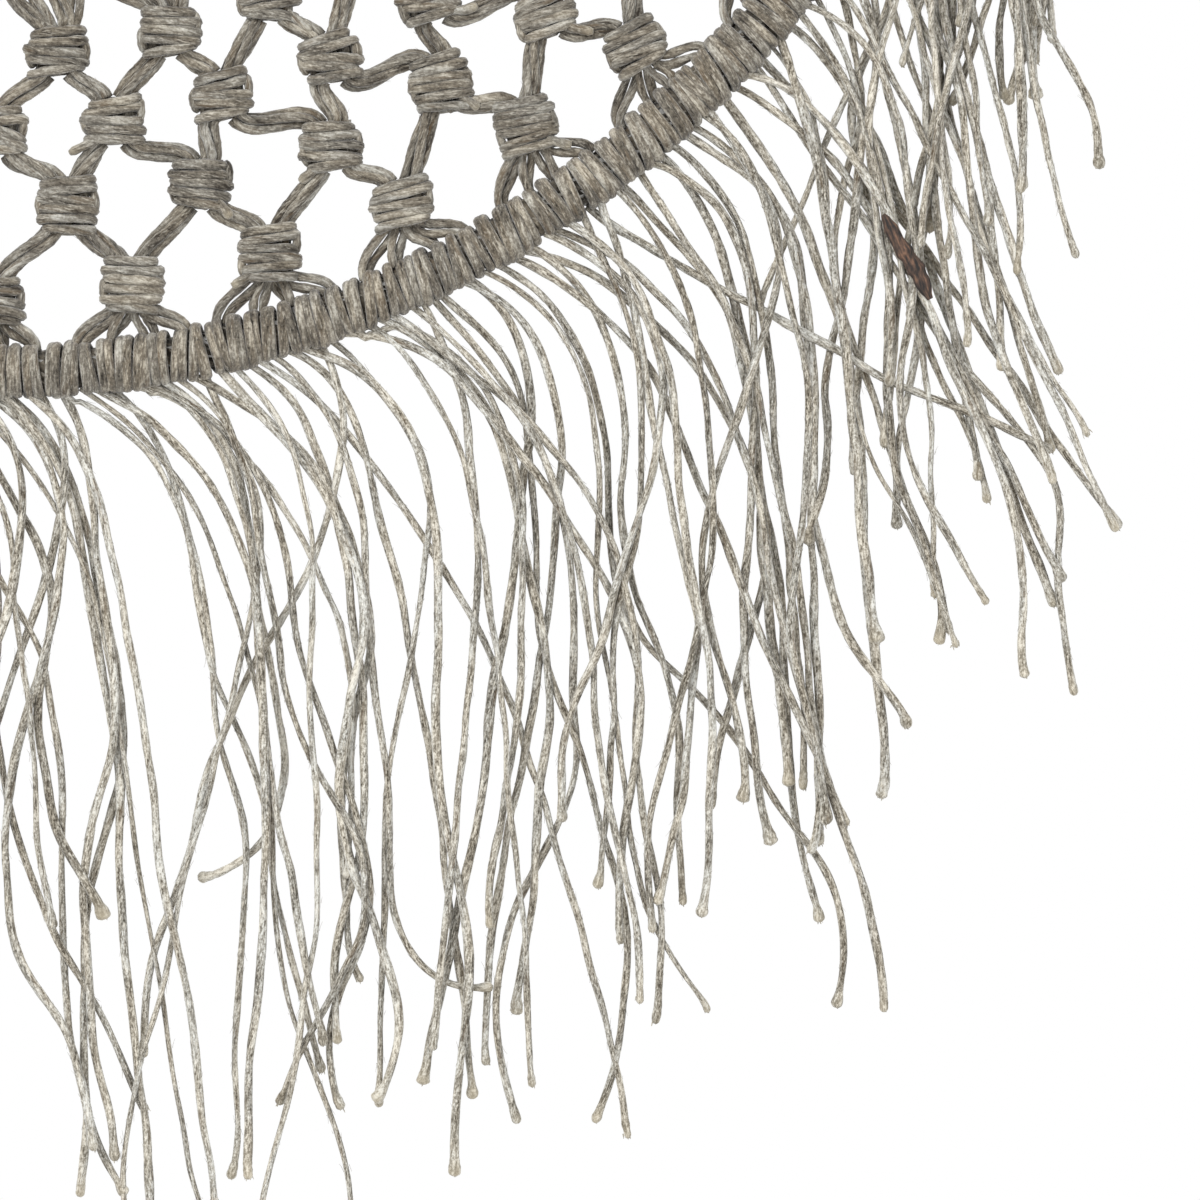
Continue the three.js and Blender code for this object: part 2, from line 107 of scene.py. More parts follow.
def build_light():
    """A white surround, with one soft light from the upper left and a weaker one from the right."""
    scene = bpy.context.scene
    scene.view_settings.view_transform = "Standard"
    world = bpy.data.worlds.new("studio")
    world.use_nodes = True
    background = world.node_tree.nodes["Background"].inputs
    background["Color"].default_value = (1, 1, 1, 1)
    background["Strength"].default_value = 1.0
    scene.world = world
    for name, place, size, watts in [
        ("key", (-1.0, -1.9, 0.9), 0.8, 48),
        ("fill", (1.6, -1.4, -0.3), 1.2, 9),
    ]:
        data = bpy.data.lights.new(name, "AREA")
        data.size = size
        data.energy = watts
        light = add_object(name, data)
        light.location = place
        aim = np.array([0, 0, HOOP_Z]) - np.array(place)
        tilt = math.atan2(math.hypot(aim[0], aim[1]), -aim[2])
        light.rotation_euler = (tilt, 0, math.atan2(-aim[0], aim[1]))


# ---- Materials -------------------------------------------

def srgb(*values):
    return tuple(((v / 255 + 0.055) / 1.055) ** 2.4 for v in values)


class Shading:
    """The node tree of one material, and short ways to add the nodes that the materials share."""

    def __init__(self, name):
        self.material = bpy.data.materials.new(name)
        self.material.use_nodes = True
        self.tree = self.material.node_tree

    def fill(self, made, inputs):
        for key, value in inputs.items():
            if isinstance(value, bpy.types.NodeSocket):
                self.tree.links.new(value, made.inputs[key])
            else:
                made.inputs[key].default_value = value

    def node(self, kind, inputs, **settings):
        made = self.tree.nodes.new("ShaderNode" + kind)
        for key, value in settings.items():
            setattr(made, key, value)
        self.fill(made, inputs)
        return made

    def math(self, operation, *values):
        return self.node("Math", dict(enumerate(values)), operation=operation).outputs[0]

    def carried_over(self, value, low, high, to_low, to_high):
        """The value, from between low and high to between two other levels."""
        return self.node("MapRange", dict(enumerate((value, low, high, to_low, to_high)))).outputs[0]

    def ramp(self, factor, *stops):
        made = self.node("ValToRGB", {0: factor})
        elements = made.color_ramp.elements
        while len(elements) < len(stops):
            elements.new(0.5)
        for element, (place, colour) in zip(elements, stops):
            element.position = place
            element.color = (*colour, 1)
        return made.outputs["Color"]

    def mix(self, factor, under, over, blend="MIX"):
        """over is a socket, or a colour of three values."""
        over = over if isinstance(over, bpy.types.NodeSocket) else (*over, 1)
        made = self.node("Mix", {0: factor, 6: under, 7: over}, data_type="RGBA", blend_type=blend)
        return made.outputs[2]

    def noise(self, place, scale, detail=2.0, roughness=0.5):
        return self.node("TexNoise", {
            "Vector": place, "Scale": scale, "Detail": detail, "Roughness": roughness}).outputs["Fac"]

    def stored(self, name, output="Fac"):
        return self.node("Attribute", {}, attribute_name=name).outputs[output]

    def fibre_noise(self, around, along, detail, roughness=0.6):
        """Noise in the coordinates that are stored on a cord: round it, and in millimetres along it."""
        place = self.node("VectorMath", {0: self.stored("fibre", "Vector"), 1: (around, around, along)},
                          operation="MULTIPLY").outputs[0]
        return self.noise(place, 1.0, detail, roughness)

    def surface(self, colour, height, strength, depth, others):
        """Finishes the material with its colour, a relief of some strength and depth, and the rest."""
        relief = self.node("Bump", {"Height": height, "Strength": strength, "Distance": depth}).outputs[0]
        self.fill(self.tree.nodes["Principled BSDF"], {"Base Color": colour, "Normal": relief, **others})
        return self.material


BLACK, WHITE = (0, 0, 0), (1, 1, 1)
WARM, COOL = (1.0, 0.965, 0.90), (0.965, 0.985, 1.0)
FLECK = srgb(88, 72, 52)
PALE_HAIR = srgb(218, 212, 198)
CUT_END = srgb(184, 174, 152)
IRON_SPECK = srgb(112, 88, 66)


def twine_material(name, dark, middle, light, mottle, bump):
    """Fibres that run along each cord, with broad patches, brown flecks and pale hairs. mottle is how
    strongly single fibres show."""
    shading = Shading(name)

    def weighted(value, weight, onto):
        """onto + weight * (value - 0.5), with onto a number or a socket."""
        return shading.math("MULTIPLY_ADD", shading.math("SUBTRACT", value, 0.5), weight, onto)

    streaks, fibres, grains, patches = (shading.fibre_noise(*settings) for settings in (
        (1.7, 0.2, 3), (2.9, 0.9, 3), (2.3, 2.1, 3, 0.7), (0.4, 0.13, 3)))
    fine = weighted(fibres, 1.2 * mottle, weighted(grains, mottle, 0.5))
    value = weighted(streaks, 0.6, weighted(patches, 0.75, fine))
    # The stored tone shifts each cord's colour. For most cords it is a random tone. It is lowered as
    # painted shade for the cords inside windings and knots and for the net.
    value = shading.math("MULTIPLY_ADD", shading.stored("tone"), 0.07, value)
    colour = shading.ramp(value, (0.22, srgb(*dark)), (0.5, srgb(*middle)), (0.8, srgb(*light)))
    warmth = shading.ramp(shading.fibre_noise(0.3, 0.045, 2), (0.40, WARM), (0.60, COOL))
    colour = shading.mix(1.0, colour, warmth, "MULTIPLY")
    for around, along, absent, full, share, mark in (
        (0.9, 0.14, 0.61, 0.70, 0.55, FLECK), (3.4, 0.6, 0.58, 0.66, 0.6 * mottle, PALE_HAIR),
    ):
        marks = shading.ramp(shading.fibre_noise(around, along, 2), (absent, BLACK), (full, WHITE))
        colour = shading.mix(shading.math("MULTIPLY", marks, share), colour, mark)
    colour = shading.mix(shading.stored("tip"), colour, CUT_END)
    height = weighted(fibres, 0.9, weighted(streaks, 0.6, weighted(grains, 0.8, 0.5)))
    return shading.surface(colour, height, bump, 0.3 * MM, {
        "Roughness": shading.carried_over(streaks, 0.3, 0.7, 0.95, 0.7), "Specular IOR Level": 0.3,
        "Sheen Weight": 0.35, "Sheen Roughness": 0.4})


def metal_material():
    """Drawn steel wire: fine scratches, dull patches and a slightly warm tint."""
    shading = Shading("steel_wire")
    place = shading.node("TexCoord", {}).outputs["Object"]
    broad = shading.noise(place, 140.0, 4.0)
    tint = shading.ramp(broad, (0.3, srgb(120, 118, 114)), (0.7, srgb(178, 177, 174)))
    return shading.surface(tint, shading.noise(place, 2600.0, 4.0), 0.25, 0.1 * MM, {
        "Metallic": 1.0, "Roughness": shading.carried_over(broad, 0.3, 0.7, 0.28, 0.5)})


def pot_material():
    """Matt off-white stoneware with small iron specks."""
    shading = Shading("ceramic_pot")
    place = shading.node("TexCoord", {}).outputs["Object"]
    broad = shading.noise(place, 38.0, 5.0)
    cells = shading.node("TexVoronoi", {"Vector": place, "Scale": 420.0, "Randomness": 1.0})
    reach = shading.carried_over(shading.noise(place, 160.0), 0.5, 0.75, 0.0, 0.33)
    speck = shading.math("LESS_THAN", cells.outputs["Distance"], reach)
    glaze = shading.ramp(broad, (0.3, srgb(188, 178, 160)), (0.7, srgb(211, 203, 188)))
    colour = shading.mix(shading.math("MULTIPLY", speck, 0.7), glaze, IRON_SPECK)
    return shading.surface(colour, broad, 0.2, 0.4 * MM, {
        "Roughness": shading.carried_over(broad, 0.3, 0.7, 0.42, 0.62)})


def bark_material():
    """The dark sliver of plant stem that is caught in one cord."""
    shading = Shading("bark")
    grain = shading.fibre_noise(3.0, 0.5, 5.0, 0.5)
    tint = shading.ramp(grain, (0.38, srgb(28, 25, 24)), (0.55, srgb(68, 52, 43)), (0.7, srgb(112, 84, 66)))
    return shading.surface(tint, grain, 0.9, 0.4 * MM, {"Roughness": 0.85})


def floor_material():
    shading = Shading("floor")
    shader = shading.tree.nodes["Principled BSDF"]
    shading.fill(shader, {"Base Color": (0.86, 0.86, 0.86, 1), "Roughness": 0.9})
    return shading.material


# ---- Swept cords -----------------------------------------

def unit(v):
    return v / np.maximum(np.linalg.norm(v, axis=-1, keepdims=True), 1e-12)


def dot(a, b):
    return (a * b).sum(-1, keepdims=True)


def catmull_rom(rows, steps):
    """Smooth curves through each row's values, but for the first and the last, which only steer them."""
    cells = rows.shape[1] - 3
    places = np.linspace(0, cells, steps)
    cell = np.minimum(places.astype(int), cells - 1)
    f = places - cell
    a, b, c, d = (rows[:, cell + i] for i in range(4))
    return b + 0.5 * f * (c - a + f * (2 * a - 5 * b + 4 * c - d + f * (3 * (b - c) + d - a)))


def smooth_noise(count, knots, steps):
    """Rows of smooth random values near -1 to 1: one row a cord, with the given number of knots."""
    return catmull_rom(rng.uniform(-1, 1, (count, knots + 3)), steps)


class Cords:
    """Collects swept cords and makes them into one mesh object."""

    def __init__(self):
        self.parts, self.quads, self.tris = [], [], []
        self.count = 0

    def keep(self, *part):
        """A part is its points, and their fibre coordinates, tones and tips."""
        self.parts.append(part)
        self.count += len(part[0])

    def add(self, paths, radius, sides=8, twist=34 * MM, lobes=0.07, tone=None, tip=0.0, side=None,
            flat=0.0):
        """paths is cords x points x 3. radius and tip may vary along each cord, tone is one a cord and is
        lowered as painted shade for cords that lie in shade.
        side is a direction that the section keeps facing, for cords that turn in one plane, and flat
        widens the section towards it."""
        paths = np.asarray(paths, float)
        cords, points, _ = paths.shape
        radius = np.broadcast_to(radius, (cords, points))
        tone = rng.uniform(-1, 1, cords) if tone is None else np.broadcast_to(tone, (cords,))
        tip = np.broadcast_to(tip, (cords, points))
        along = unit(np.gradient(paths, axis=1))
        if side is None:
            start = np.eye(3)[np.abs(along[:, 0]).argmin(-1)]
            across = np.empty_like(along)
            across[:, 0] = unit(start - dot(start, along[:, 0]) * along[:, 0])
            for i in range(1, points):
                across[:, i] = unit(across[:, i - 1] - dot(across[:, i - 1], along[:, i]) * along[:, i])
        else:
            across = unit(side - dot(side, along) * along)
        other = np.cross(along, across)
        lengths = np.linalg.norm(np.diff(paths, axis=1), axis=-1)
        travelled = np.concatenate([np.zeros((cords, 1)), np.cumsum(lengths, 1)], 1)
        phase = rng.uniform(0, 2 * np.pi, (cords, 1))
        turn = (travelled / twist * 2 * np.pi + phase)[..., None]
        angle = np.arange(sides) / sides * 2 * np.pi
        reach = radius[..., None] * (1 + lobes * np.cos(2 * angle))
        facing = angle + turn
        verts = (paths[:, :, None] + reach[..., None] * (
            (1 + flat) * np.cos(facing)[..., None] * across[:, :, None]
            + (1 - flat) * np.sin(facing)[..., None] * other[:, :, None]))
        offset = rng.uniform(0, 1000, (cords, 1, 1))
        fibre = np.stack([np.broadcast_to(part, verts.shape[:3]) for part in (
            np.cos(angle) * 0.9, np.sin(angle) * 0.9, travelled[..., None] / MM + offset)], -1)
        ring = np.arange(sides)
        first = self.count + np.arange(cords)[:, None] * points * sides
        base = first[:, None] + np.arange(points - 1)[None, :, None] * sides
        a = base + ring
        b = base + (ring + 1) % sides
        self.quads.append(np.stack([a, b, b + sides, a + sides], -1).reshape(-1, 4))
        self.keep(verts.reshape(-1, 3), fibre.reshape(-1, 3), np.repeat(tone, points * sides),
                  np.repeat(tip.reshape(-1), sides))
        for end, order in ((0, 1), (points - 1, -1)):
            centres = self.count + np.arange(cords)
            rim = first + end * sides + ring
            following = first + end * sides + (ring + 1) % sides
            caps = np.stack([np.repeat(centres, sides), following.ravel(), rim.ravel()], -1)
            self.tris.append(caps[:, ::order])
            inner_fibre = np.concatenate([np.zeros((cords, 2)), fibre[:, end, 0, 2:]], -1)
            self.keep(paths[:, end], inner_fibre, tone, tip[:, end])

    def build(self, name, material, body, slot, replaces=()):
        verts, fibres, tones, tips = map(np.concatenate, zip(*self.parts))
        quads, tris = np.concatenate(self.quads), np.concatenate(self.tris)
        mesh = bpy.data.meshes.new(name)
        mesh.vertices.add(len(verts))
        mesh.vertices.foreach_set("co", verts.astype(np.float32).ravel())
        mesh.loops.add(quads.size + tris.size)
        corners = np.concatenate([quads.ravel(), tris.ravel()])
        mesh.loops.foreach_set("vertex_index", corners.astype(np.int32))
        mesh.polygons.add(len(quads) + len(tris))
        starts = np.concatenate([np.arange(len(quads)) * 4, quads.size + np.arange(len(tris)) * 3])
        mesh.polygons.foreach_set("loop_start", starts.astype(np.int32))
        mesh.update(calc_edges=True)
        for label, kind, key, values in (
            ("fibre", "FLOAT_VECTOR", "vector", fibres),
            ("tone", "FLOAT", "value", tones),
            ("tip", "FLOAT", "value", tips),
        ):
            layer = mesh.attributes.new(label, kind, "POINT")
            layer.data.foreach_set(key, values.astype(np.float32).ravel())
        return place_piece(name, mesh, material, body, replaces)


def place_piece(name, mesh, material, body, replaces):
    mesh.shade_smooth()
    mesh.materials.append(material)
    piece = add_object(name, mesh)
    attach(piece, body)
    if replaces:
        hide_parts(*replaces)
    return piece


# ---- Places on the hoop ----------------------------------

def on_circle(radius, angle, depth=0.0):
    """A point of the hoop's plane, at an angle in degrees from the bottom towards +X."""
    turn = np.radians(angle)
    radius, turn, depth = np.broadcast_arrays(radius, turn, depth)
    return np.stack([radius * np.sin(turn), depth, HOOP_Z - radius * np.cos(turn)], -1)


def outward(angle):
    turn = np.radians(np.asarray(angle, float))
    return np.stack([np.sin(turn), np.zeros_like(turn), -np.cos(turn)], -1)


def sideways(angle):
    turn = np.radians(np.asarray(angle, float))
    return np.stack([np.cos(turn), np.zeros_like(turn), np.sin(turn)], -1)


FRONT = np.array([0.0, -1.0, 0.0])
UP = np.array([0.0, 0.0, 1.0])
RIGHT = np.array([1.0, 0.0, 0.0])


# ---- Routes and bundles ----------------------------------

COIL_STEPS = 28                     # points in each turn of a coil
FUZZ_RADIUS = 0.05 * MM


def hermite(start, stop, start_way, stop_way, steps):
    """A smooth curve that leaves one point and reaches the other in the given directions."""
    t = np.linspace(0, 1, steps)[:, None]
    span = np.linalg.norm(stop - start)
    return ((2 * t**3 - 3 * t**2 + 1) * start + (t**3 - 2 * t**2 + t) * span * start_way
            + (3 * t**2 - 2 * t**3) * stop + (t**3 - t**2) * span * stop_way)


def bundle(route, count, spread, turns, facing, spin=0.0, swell=0.15):
    """Cords that run side by side round a route, twist a little and open in the middle of their run."""
    along = unit(np.gradient(route, axis=0))
    flat = unit(np.cross(along, facing))
    deep = np.cross(flat, along)
    t = np.linspace(0, 1, len(route))
    paths = []
    for k in range(count):
        angle = spin + 2 * math.pi * k / count + turns * 2 * math.pi * t + rng.normal(0, 0.12)
        reach = spread * (1 + swell * np.sin(math.pi * t) + rng.normal(0, 0.05))
        paths.append(route + (reach * np.cos(angle))[:, None] * flat
                     + (reach * np.sin(angle))[:, None] * deep)
    return np.array(paths)


def coil(foot, axis, across, reach, rise, turns):
    """Twine wound round a straight axis: reach is the half width of its turns across and the other way."""
    steps = turns * COIL_STEPS + 1
    u = np.linspace(0, turns, steps)
    other = np.cross(axis, across)
    uneven = smooth_noise(2, turns * 2, steps)
    bulge = 1 + 0.05 * uneven[0]
    climb = rise * (u + 0.16 * uneven[1]) / turns
    return (foot + climb[:, None] * axis + (reach[0] * bulge * np.cos(2 * np.pi * u))[:, None] * across
            + (reach[1] * bulge * np.sin(2 * np.pi * u))[:, None] * other)[None]


def twine_radius(count, steps, knots=6, share=1.0):
    """The uneven thickness of hand-spun twine, one row a cord."""
    return share * TWINE / 2 * (1 + 0.09 * smooth_noise(count, knots, steps)
                                + 0.06 * smooth_noise(count, knots * 2, steps)
                                + 0.07 * smooth_noise(count, knots * 5, steps))


def add_fuzz(cords, paths, per_cord, longest=2.0 * MM):
    """Fine loose fibres that stand off the surface of each cord."""
    count, steps, _ = paths.shape
    total = count * per_cord
    which = np.repeat(np.arange(count), per_cord)
    at = rng.integers(2, steps - 2, total)
    along = unit(paths[which, at + 1] - paths[which, at - 1]) * rng.choice((-1, 1), (total, 1))
    away = rng.normal(0, 1, (total, 3))
    away = unit(away - dot(away, along) * along)
    t = np.linspace(0, 1, 4)[None, :, None]
    reach = rng.uniform(0.3, 1, (total, 1, 1)) ** 2 * longest
    lift = rng.uniform(0.08, 0.45, (total, 1, 1))
    base = paths[which, at] + away * TWINE * 0.4
    fibres = base[:, None] + reach * (t * along[:, None] + lift * t**1.6 * away[:, None])
    cords.add(fibres, FUZZ_RADIUS * np.array([1, 0.9, 0.75, 0.4]), sides=3, lobes=0, tone=1.0, tip=0.25)


def add_frayed_ends(cords, paths, per_end=16):
    """A short soft brush of fibres at each cut end."""
    ends = paths[:, -1]
    ahead = unit(paths[:, -1] - paths[:, -4])
    count = len(ends) * per_end
    direction = unit(np.repeat(ahead, per_end, 0) + rng.normal(0, 0.16, (count, 3)))
    bend = rng.normal(0, 0.12, (count, 3))
    t = np.linspace(0, 1, 5)[None, :, None]
    reach = rng.uniform(0.7, 1.1, (count, 1, 1)) * MM
    inside = rng.normal(0, 0.3, (count, 3)) * MM
    base = np.repeat(ends - ahead * 1.2 * MM, per_end, 0) + inside
    strands = base[:, None] + reach * (t * direction[:, None] + t**2 * bend[:, None])
    thick = rng.uniform(0.08, 0.15, (count, 1)) * MM * np.array([[1, 1, 0.9, 0.8, 0.5]])
    cords.add(strands, thick, sides=4, lobes=0, tone=rng.normal(0.4, 0.5, count), tip=0.6)


# ---- Fringe ----------------------------------------------

FRINGE_POINTS = 146
END_POINTS = 14                     # of those, how many shape the last few millimetres
END_LENGTH = 4 * MM
FRINGE_SIDES = 10
FRINGE_TWIST = 80 * MM
FRINGE_PER_PITCH = 11               # cords that hang from the stretch of hoop under one knot
FRINGE_FUZZ = 84                    # loose fibres on each cord

# What the fringe does at these angles from the hoop's bottom, towards +X: the heading at which a cord
# leaves its hitch and the one at which it hangs, in degrees from straight down, how many millimetres it
# takes to bend from one to the other, and its shortest and longest length.
ALONG_HOOP = [-100, -84, -70, -40, 0, 20, 30, 42, 50, 56, 64, 72, 84, 100]
LEAVING = [-50, -42, -30, 8, 56, 59, 59, 54, 44, 34, 26, 28, 44, 60]
HANGING = [2, 2, 1, -7, 0, 0, 3, 7, 9, 9, 3, -3, -1, 1]
SETTLING = [9, 7, 8, 20, 27, 36, 40, 30, 18, 12, 7, 6, 7, 9]
SHORTEST = [80, 82, 84, 90, 98, 116, 122, 124, 112, 100, 88, 80, 80, 80]
LONGEST = [100, 106, 112, 156, 186, 178, 172, 162, 142, 134, 122, 110, 106, 100]

# Cords that go their own way: angle on the hoop, leaving and hanging headings, settling, length,
# how far the last stretch curls round towards +X, and how pale the cord is.
STRAYS = [
    (9.5, 56, 6, 20, 114, -88, 2.2),
    (15.5, 58, 3, 22, 143, 96, 0.0),
    (21.0, 50, 6, 24, 158, 0, 0.1),
    (24.3, 42, -5, 26, 150, 0, 0.5),
    (27.0, 40, -9, 18, 165, 0, -0.4),
    (35.0, 70, 63, 40, 104, 0, 0.4),
    (39.7, 45, 5, 24, 130, 0, 0.1),
    (40.5, 60, 2, 22, 134, 0, -0.3),
    (45.0, 52, 29, 30, 120, 0, -0.2),
    (47.5, 50, 33, 26, 118, 0, 0.2),
    (49.1, 35, 6, 18, 122, 0, 0.0),
    (50.0, 44, 25, 16, 128, 0, 0.0),
    (53.0, 46, 26, 12, 124, 0, 0.3),
    (57.0, 40, 15, 20, 112, 0, 0.0),
    (69.0, 26, -20, 9, 124, 0, 0.6),
]
STRAY_WAVE = 3
KINK = 5.0                          # degrees by which every cord wanders every few millimetres
CURL_LENGTH = 34 * MM
BARK_LENGTH = 19 * MM
BARK_SLANT = 32                     # degrees from straight down
TUFT = 3                            # neighbouring cords that leave the hoop as one tuft,
CLOSING = 12 * MM                   # draw together over about this length
TOGETHER = 30 * MM                  # and wave as one for about this long
WAVES = (9, 32)                     # degrees by which a cord's broad waves may turn it
GROWTH = 36 * MM                    # along which those waves grow from nothing
LANE = 4.4                          # millimetres that a cord may hang forward or back
SETTLED = 20 * MM                   # along which it moves over to there


def fringe_angles():
    columns = np.arange(-math.ceil(FRINGE_SPAN / PITCH), math.ceil(FRINGE_SPAN / PITCH) + 1)
    hitch = (np.arange(FRINGE_PER_PITCH) - (FRINGE_PER_PITCH - 1) / 2) / FRINGE_PER_PITCH
    angles = ((columns[:, None] + hitch) * PITCH).ravel()
    angles += rng.normal(0, 0.14, angles.size)
    return np.sort(angles[np.abs(angles) < FRINGE_SPAN])


def fringe_habits(angles):
    """How each cord leaves, hangs, settles, curls and waves, and how long and how pale it is."""
    count = angles.size
    tuft = np.minimum(np.cumsum(rng.uniform(0, 1, count) < 1 / TUFT), count - 1)
    shared = rng.normal(0, 1, (3, count))[:, tuft]

    def typical(values):
        return np.interp(angles, ALONG_HOOP, values)

    habit = {
        "tuft": tuft,
        "leaving": typical(LEAVING) + 5 * shared[0] + rng.normal(0, 10, count),
        "hanging": typical(HANGING) + 2 * shared[1] + rng.normal(0, 5, count),
        "settling": typical(SETTLING) * np.exp(0.25 * shared[2] + rng.normal(0, 0.35, count)),
        "curl": np.zeros(count),
        "wave": rng.uniform(*WAVES, count),
        "tone": rng.normal(0, 0.6, count),
    }
    shortest = typical(SHORTEST)
    habit["length"] = shortest + (typical(LONGEST) - shortest) * rng.uniform(0, 1, count) ** 0.6
    for angle, *own in STRAYS:
        stray = np.abs(angles - angle).argmin()
        habit["wave"][stray] = STRAY_WAVE
        for key, value in zip(("leaving", "hanging", "settling", "length", "curl", "tone"), own):
            habit[key][stray] = value
    habit["settling"] *= MM
    habit["length"] *= MM
    return habit


def fringe_travel(lengths):
    """How far along its cord each point lies: even steps, and closer ones over the cut end."""
    body = np.linspace(0, 1, FRINGE_POINTS - END_POINTS, endpoint=False) * (lengths[:, None] - END_LENGTH)
    end = lengths[:, None] - END_LENGTH * np.linspace(1, 0, END_POINTS)
    return np.concatenate([body, end], 1)


def fringe_paths(angles, habit):
    """Each cord leaves its hitch towards +X together with its tuft, bends over under its weight, and then
    hangs waving from having been knotted. It is followed by its heading, so it keeps its length."""
    count = angles.size
    tuft = habit["tuft"]
    travelled = fringe_travel(habit["length"])
    bending = np.exp(-(travelled / habit["settling"][:, None]) ** 1.4)
    heading = habit["hanging"][:, None] + (habit["leaving"] - habit["hanging"])[:, None] * bending
    middle = np.array([angles[tuft == t].mean() for t in tuft])
    apart = np.radians(angles - middle) * HOOP_R
    inwards = np.degrees(np.clip(0.55 * apart / CLOSING, -0.5, 0.5))
    heading -= inwards[:, None] * np.exp(-travelled / CLOSING)
    together = np.exp(-travelled / TOGETHER)
    growth = np.clip(travelled / GROWTH, 0, 1)
    own = smooth_noise(count, 4, FRINGE_POINTS) + 0.45 * smooth_noise(count, 8, FRINGE_POINTS)
    shared = smooth_noise(count, 4, FRINGE_POINTS)[tuft]
    heading += growth * habit["wave"][:, None] * (own * (1 - 0.7 * together) + 0.5 * shared * together)
    heading += KINK * smooth_noise(count, 22, FRINGE_POINTS)
    near_end = np.clip(1 - (habit["length"][:, None] - travelled) / CURL_LENGTH, 0, 1)
    heading += habit["curl"][:, None] * near_end**1.4
    lane = rng.uniform(-LANE, LANE, count) * MM
    settled = 1 - np.exp(-travelled / SETTLED)
    depth = lane[:, None] * settled + growth * smooth_noise(count, 5, FRINGE_POINTS) * 1.5 * MM
    start = on_circle(HOOP_R + HOOP_WIND_R - 0.8 * MM, angles, rng.uniform(-1.2, 1.6, count) * MM)
    slope = np.gradient(depth, axis=1) / np.gradient(travelled, axis=1)
    planar = np.sqrt(np.clip(1 - slope**2, 0.2, 1))
    turn = np.radians(heading)
    step = np.diff(travelled, axis=1, prepend=0)
    x = start[:, None, 0] + np.cumsum(np.sin(turn) * planar * step, 1)
    z = start[:, None, 2] - np.cumsum(np.cos(turn) * planar * step, 1)
    return draped_over_hoop(np.stack([x, start[:, None, 1] + depth, z], -1), travelled)


def draped_over_hoop(paths, travelled):
    """Cords from high on the hoop's sides lie against its winding instead of passing through it."""
    around = np.degrees(np.arctan2(paths[..., 0], HOOP_Z - paths[..., 2]))
    wire = on_circle(HOOP_R, around)
    off = paths - wire
    distance = np.maximum(np.linalg.norm(off, axis=-1, keepdims=True), 0.5 * MM)
    reach = HOOP_WIND_R + TWINE
    touching = (distance < reach) & (travelled[..., None] > 5 * MM)
    return np.where(touching, wire + off / distance * reach, paths)


def fringe_radius(lengths):
    """Thickness varies along a cord, and the cut end swells into a soft rounded tuft."""
    count = lengths.size
    to_end = lengths[:, None] - fringe_travel(lengths)
    flare = rng.uniform(0.1, 0.75, (count, 1)) * np.exp(-((to_end - 0.9 * MM) / (1.9 * MM)) ** 2)
    closing = np.sqrt(1 - 0.85 * (1 - np.clip(to_end / (0.9 * MM), 0, 1)) ** 2)
    pale = np.exp(-to_end / (2.6 * MM)) * rng.uniform(0.1, 0.75, (count, 1))
    share = rng.normal(0.85, 0.11, (count, 1))
    return twine_radius(count, FRINGE_POINTS, 14, share) * (1 + flare) * closing, pale


def build_bark(paths, material):
    """A flake of dark stem, caught aslant on the foremost cord near one place at the fringe's right."""
    caught_near = np.array([177 * MM, 0, HOOP_Z - 176 * MM])
    away = np.linalg.norm((paths - caught_near)[..., [0, 2]], axis=-1)
    forward = np.where(away < 3 * MM, paths[..., 1], np.inf)
    host, at = np.unravel_index(forward.argmin(), away.shape)
    way = outward(BARK_SLANT)
    t = np.linspace(-1, 1, 60)
    bow = 0.5 * MM * smooth_noise(1, 3, t.size)[0]
    route = (paths[host, at] + 1.7 * MM * FRONT + BARK_LENGTH / 2 * t[:, None] * way
             + bow[:, None] * sideways(BARK_SLANT))
    ragged = 1 + 0.16 * smooth_noise(1, 9, t.size)[0] + 0.12 * smooth_noise(1, 24, t.size)[0]
    width = 1.3 * MM * (1 - np.abs(t) ** 3.0 * 0.75) * ragged
    bark = Cords()
    bark.add(route[None], width[None], sides=18, twist=60 * MM, lobes=0.12, side=FRONT, flat=-0.35)
    bark.build("bark_flake", material, "hoop", "twine")


def build_fringe(material, bark):
    angles = fringe_angles()
    habit = fringe_habits(angles)
    paths = fringe_paths(angles, habit)
    radius, pale = fringe_radius(habit["length"])
    tones = habit["tone"]
    reach = HOOP_Z - paths[:, -1, 2] + np.abs(paths[:, -1, 0])
    furthest = set(np.argsort(-reach)[:DECLARED_CORDS])
    sector = np.floor((angles + FRINGE_SPAN) / (2 * FRINGE_SPAN) * FRINGE_SECTORS).astype(int)
    for index in range(FRINGE_SECTORS):
        joined = Cords()
        everyone = np.flatnonzero(sector == index)
        members = [i for i in everyone if i not in furthest]
        joined.add(paths[members], radius[members], FRINGE_SIDES, FRINGE_TWIST, tone=tones[members],
                   tip=pale[members])
        add_frayed_ends(joined, paths[everyone])
        add_fuzz(joined, paths[everyone, :-END_POINTS], FRINGE_FUZZ)
        label = f"{index + 1:02d}"
        joined.build(f"fringe_sector_{label}", material, "hoop", "twine", [f"fringe_{label}"])
    for number, i in enumerate(sorted(furthest)):
        single = Cords()
        one = slice(i, i + 1)
        single.add(paths[one], radius[one], FRINGE_SIDES, FRINGE_TWIST, tone=tones[one], tip=pale[one])
        piece = single.build(f"fringe_cord_{number + 1:02d}", material, "hoop", "twine")
    build_bark(paths, bark)


# ---- Windings on the two rings ---------------------------

WINDING_PITCH = 1.8 * MM
PER_TURN = 20
TURNS_PER_CREVICE = 6               # turns lie close in groups of about this many, with a dark gap between


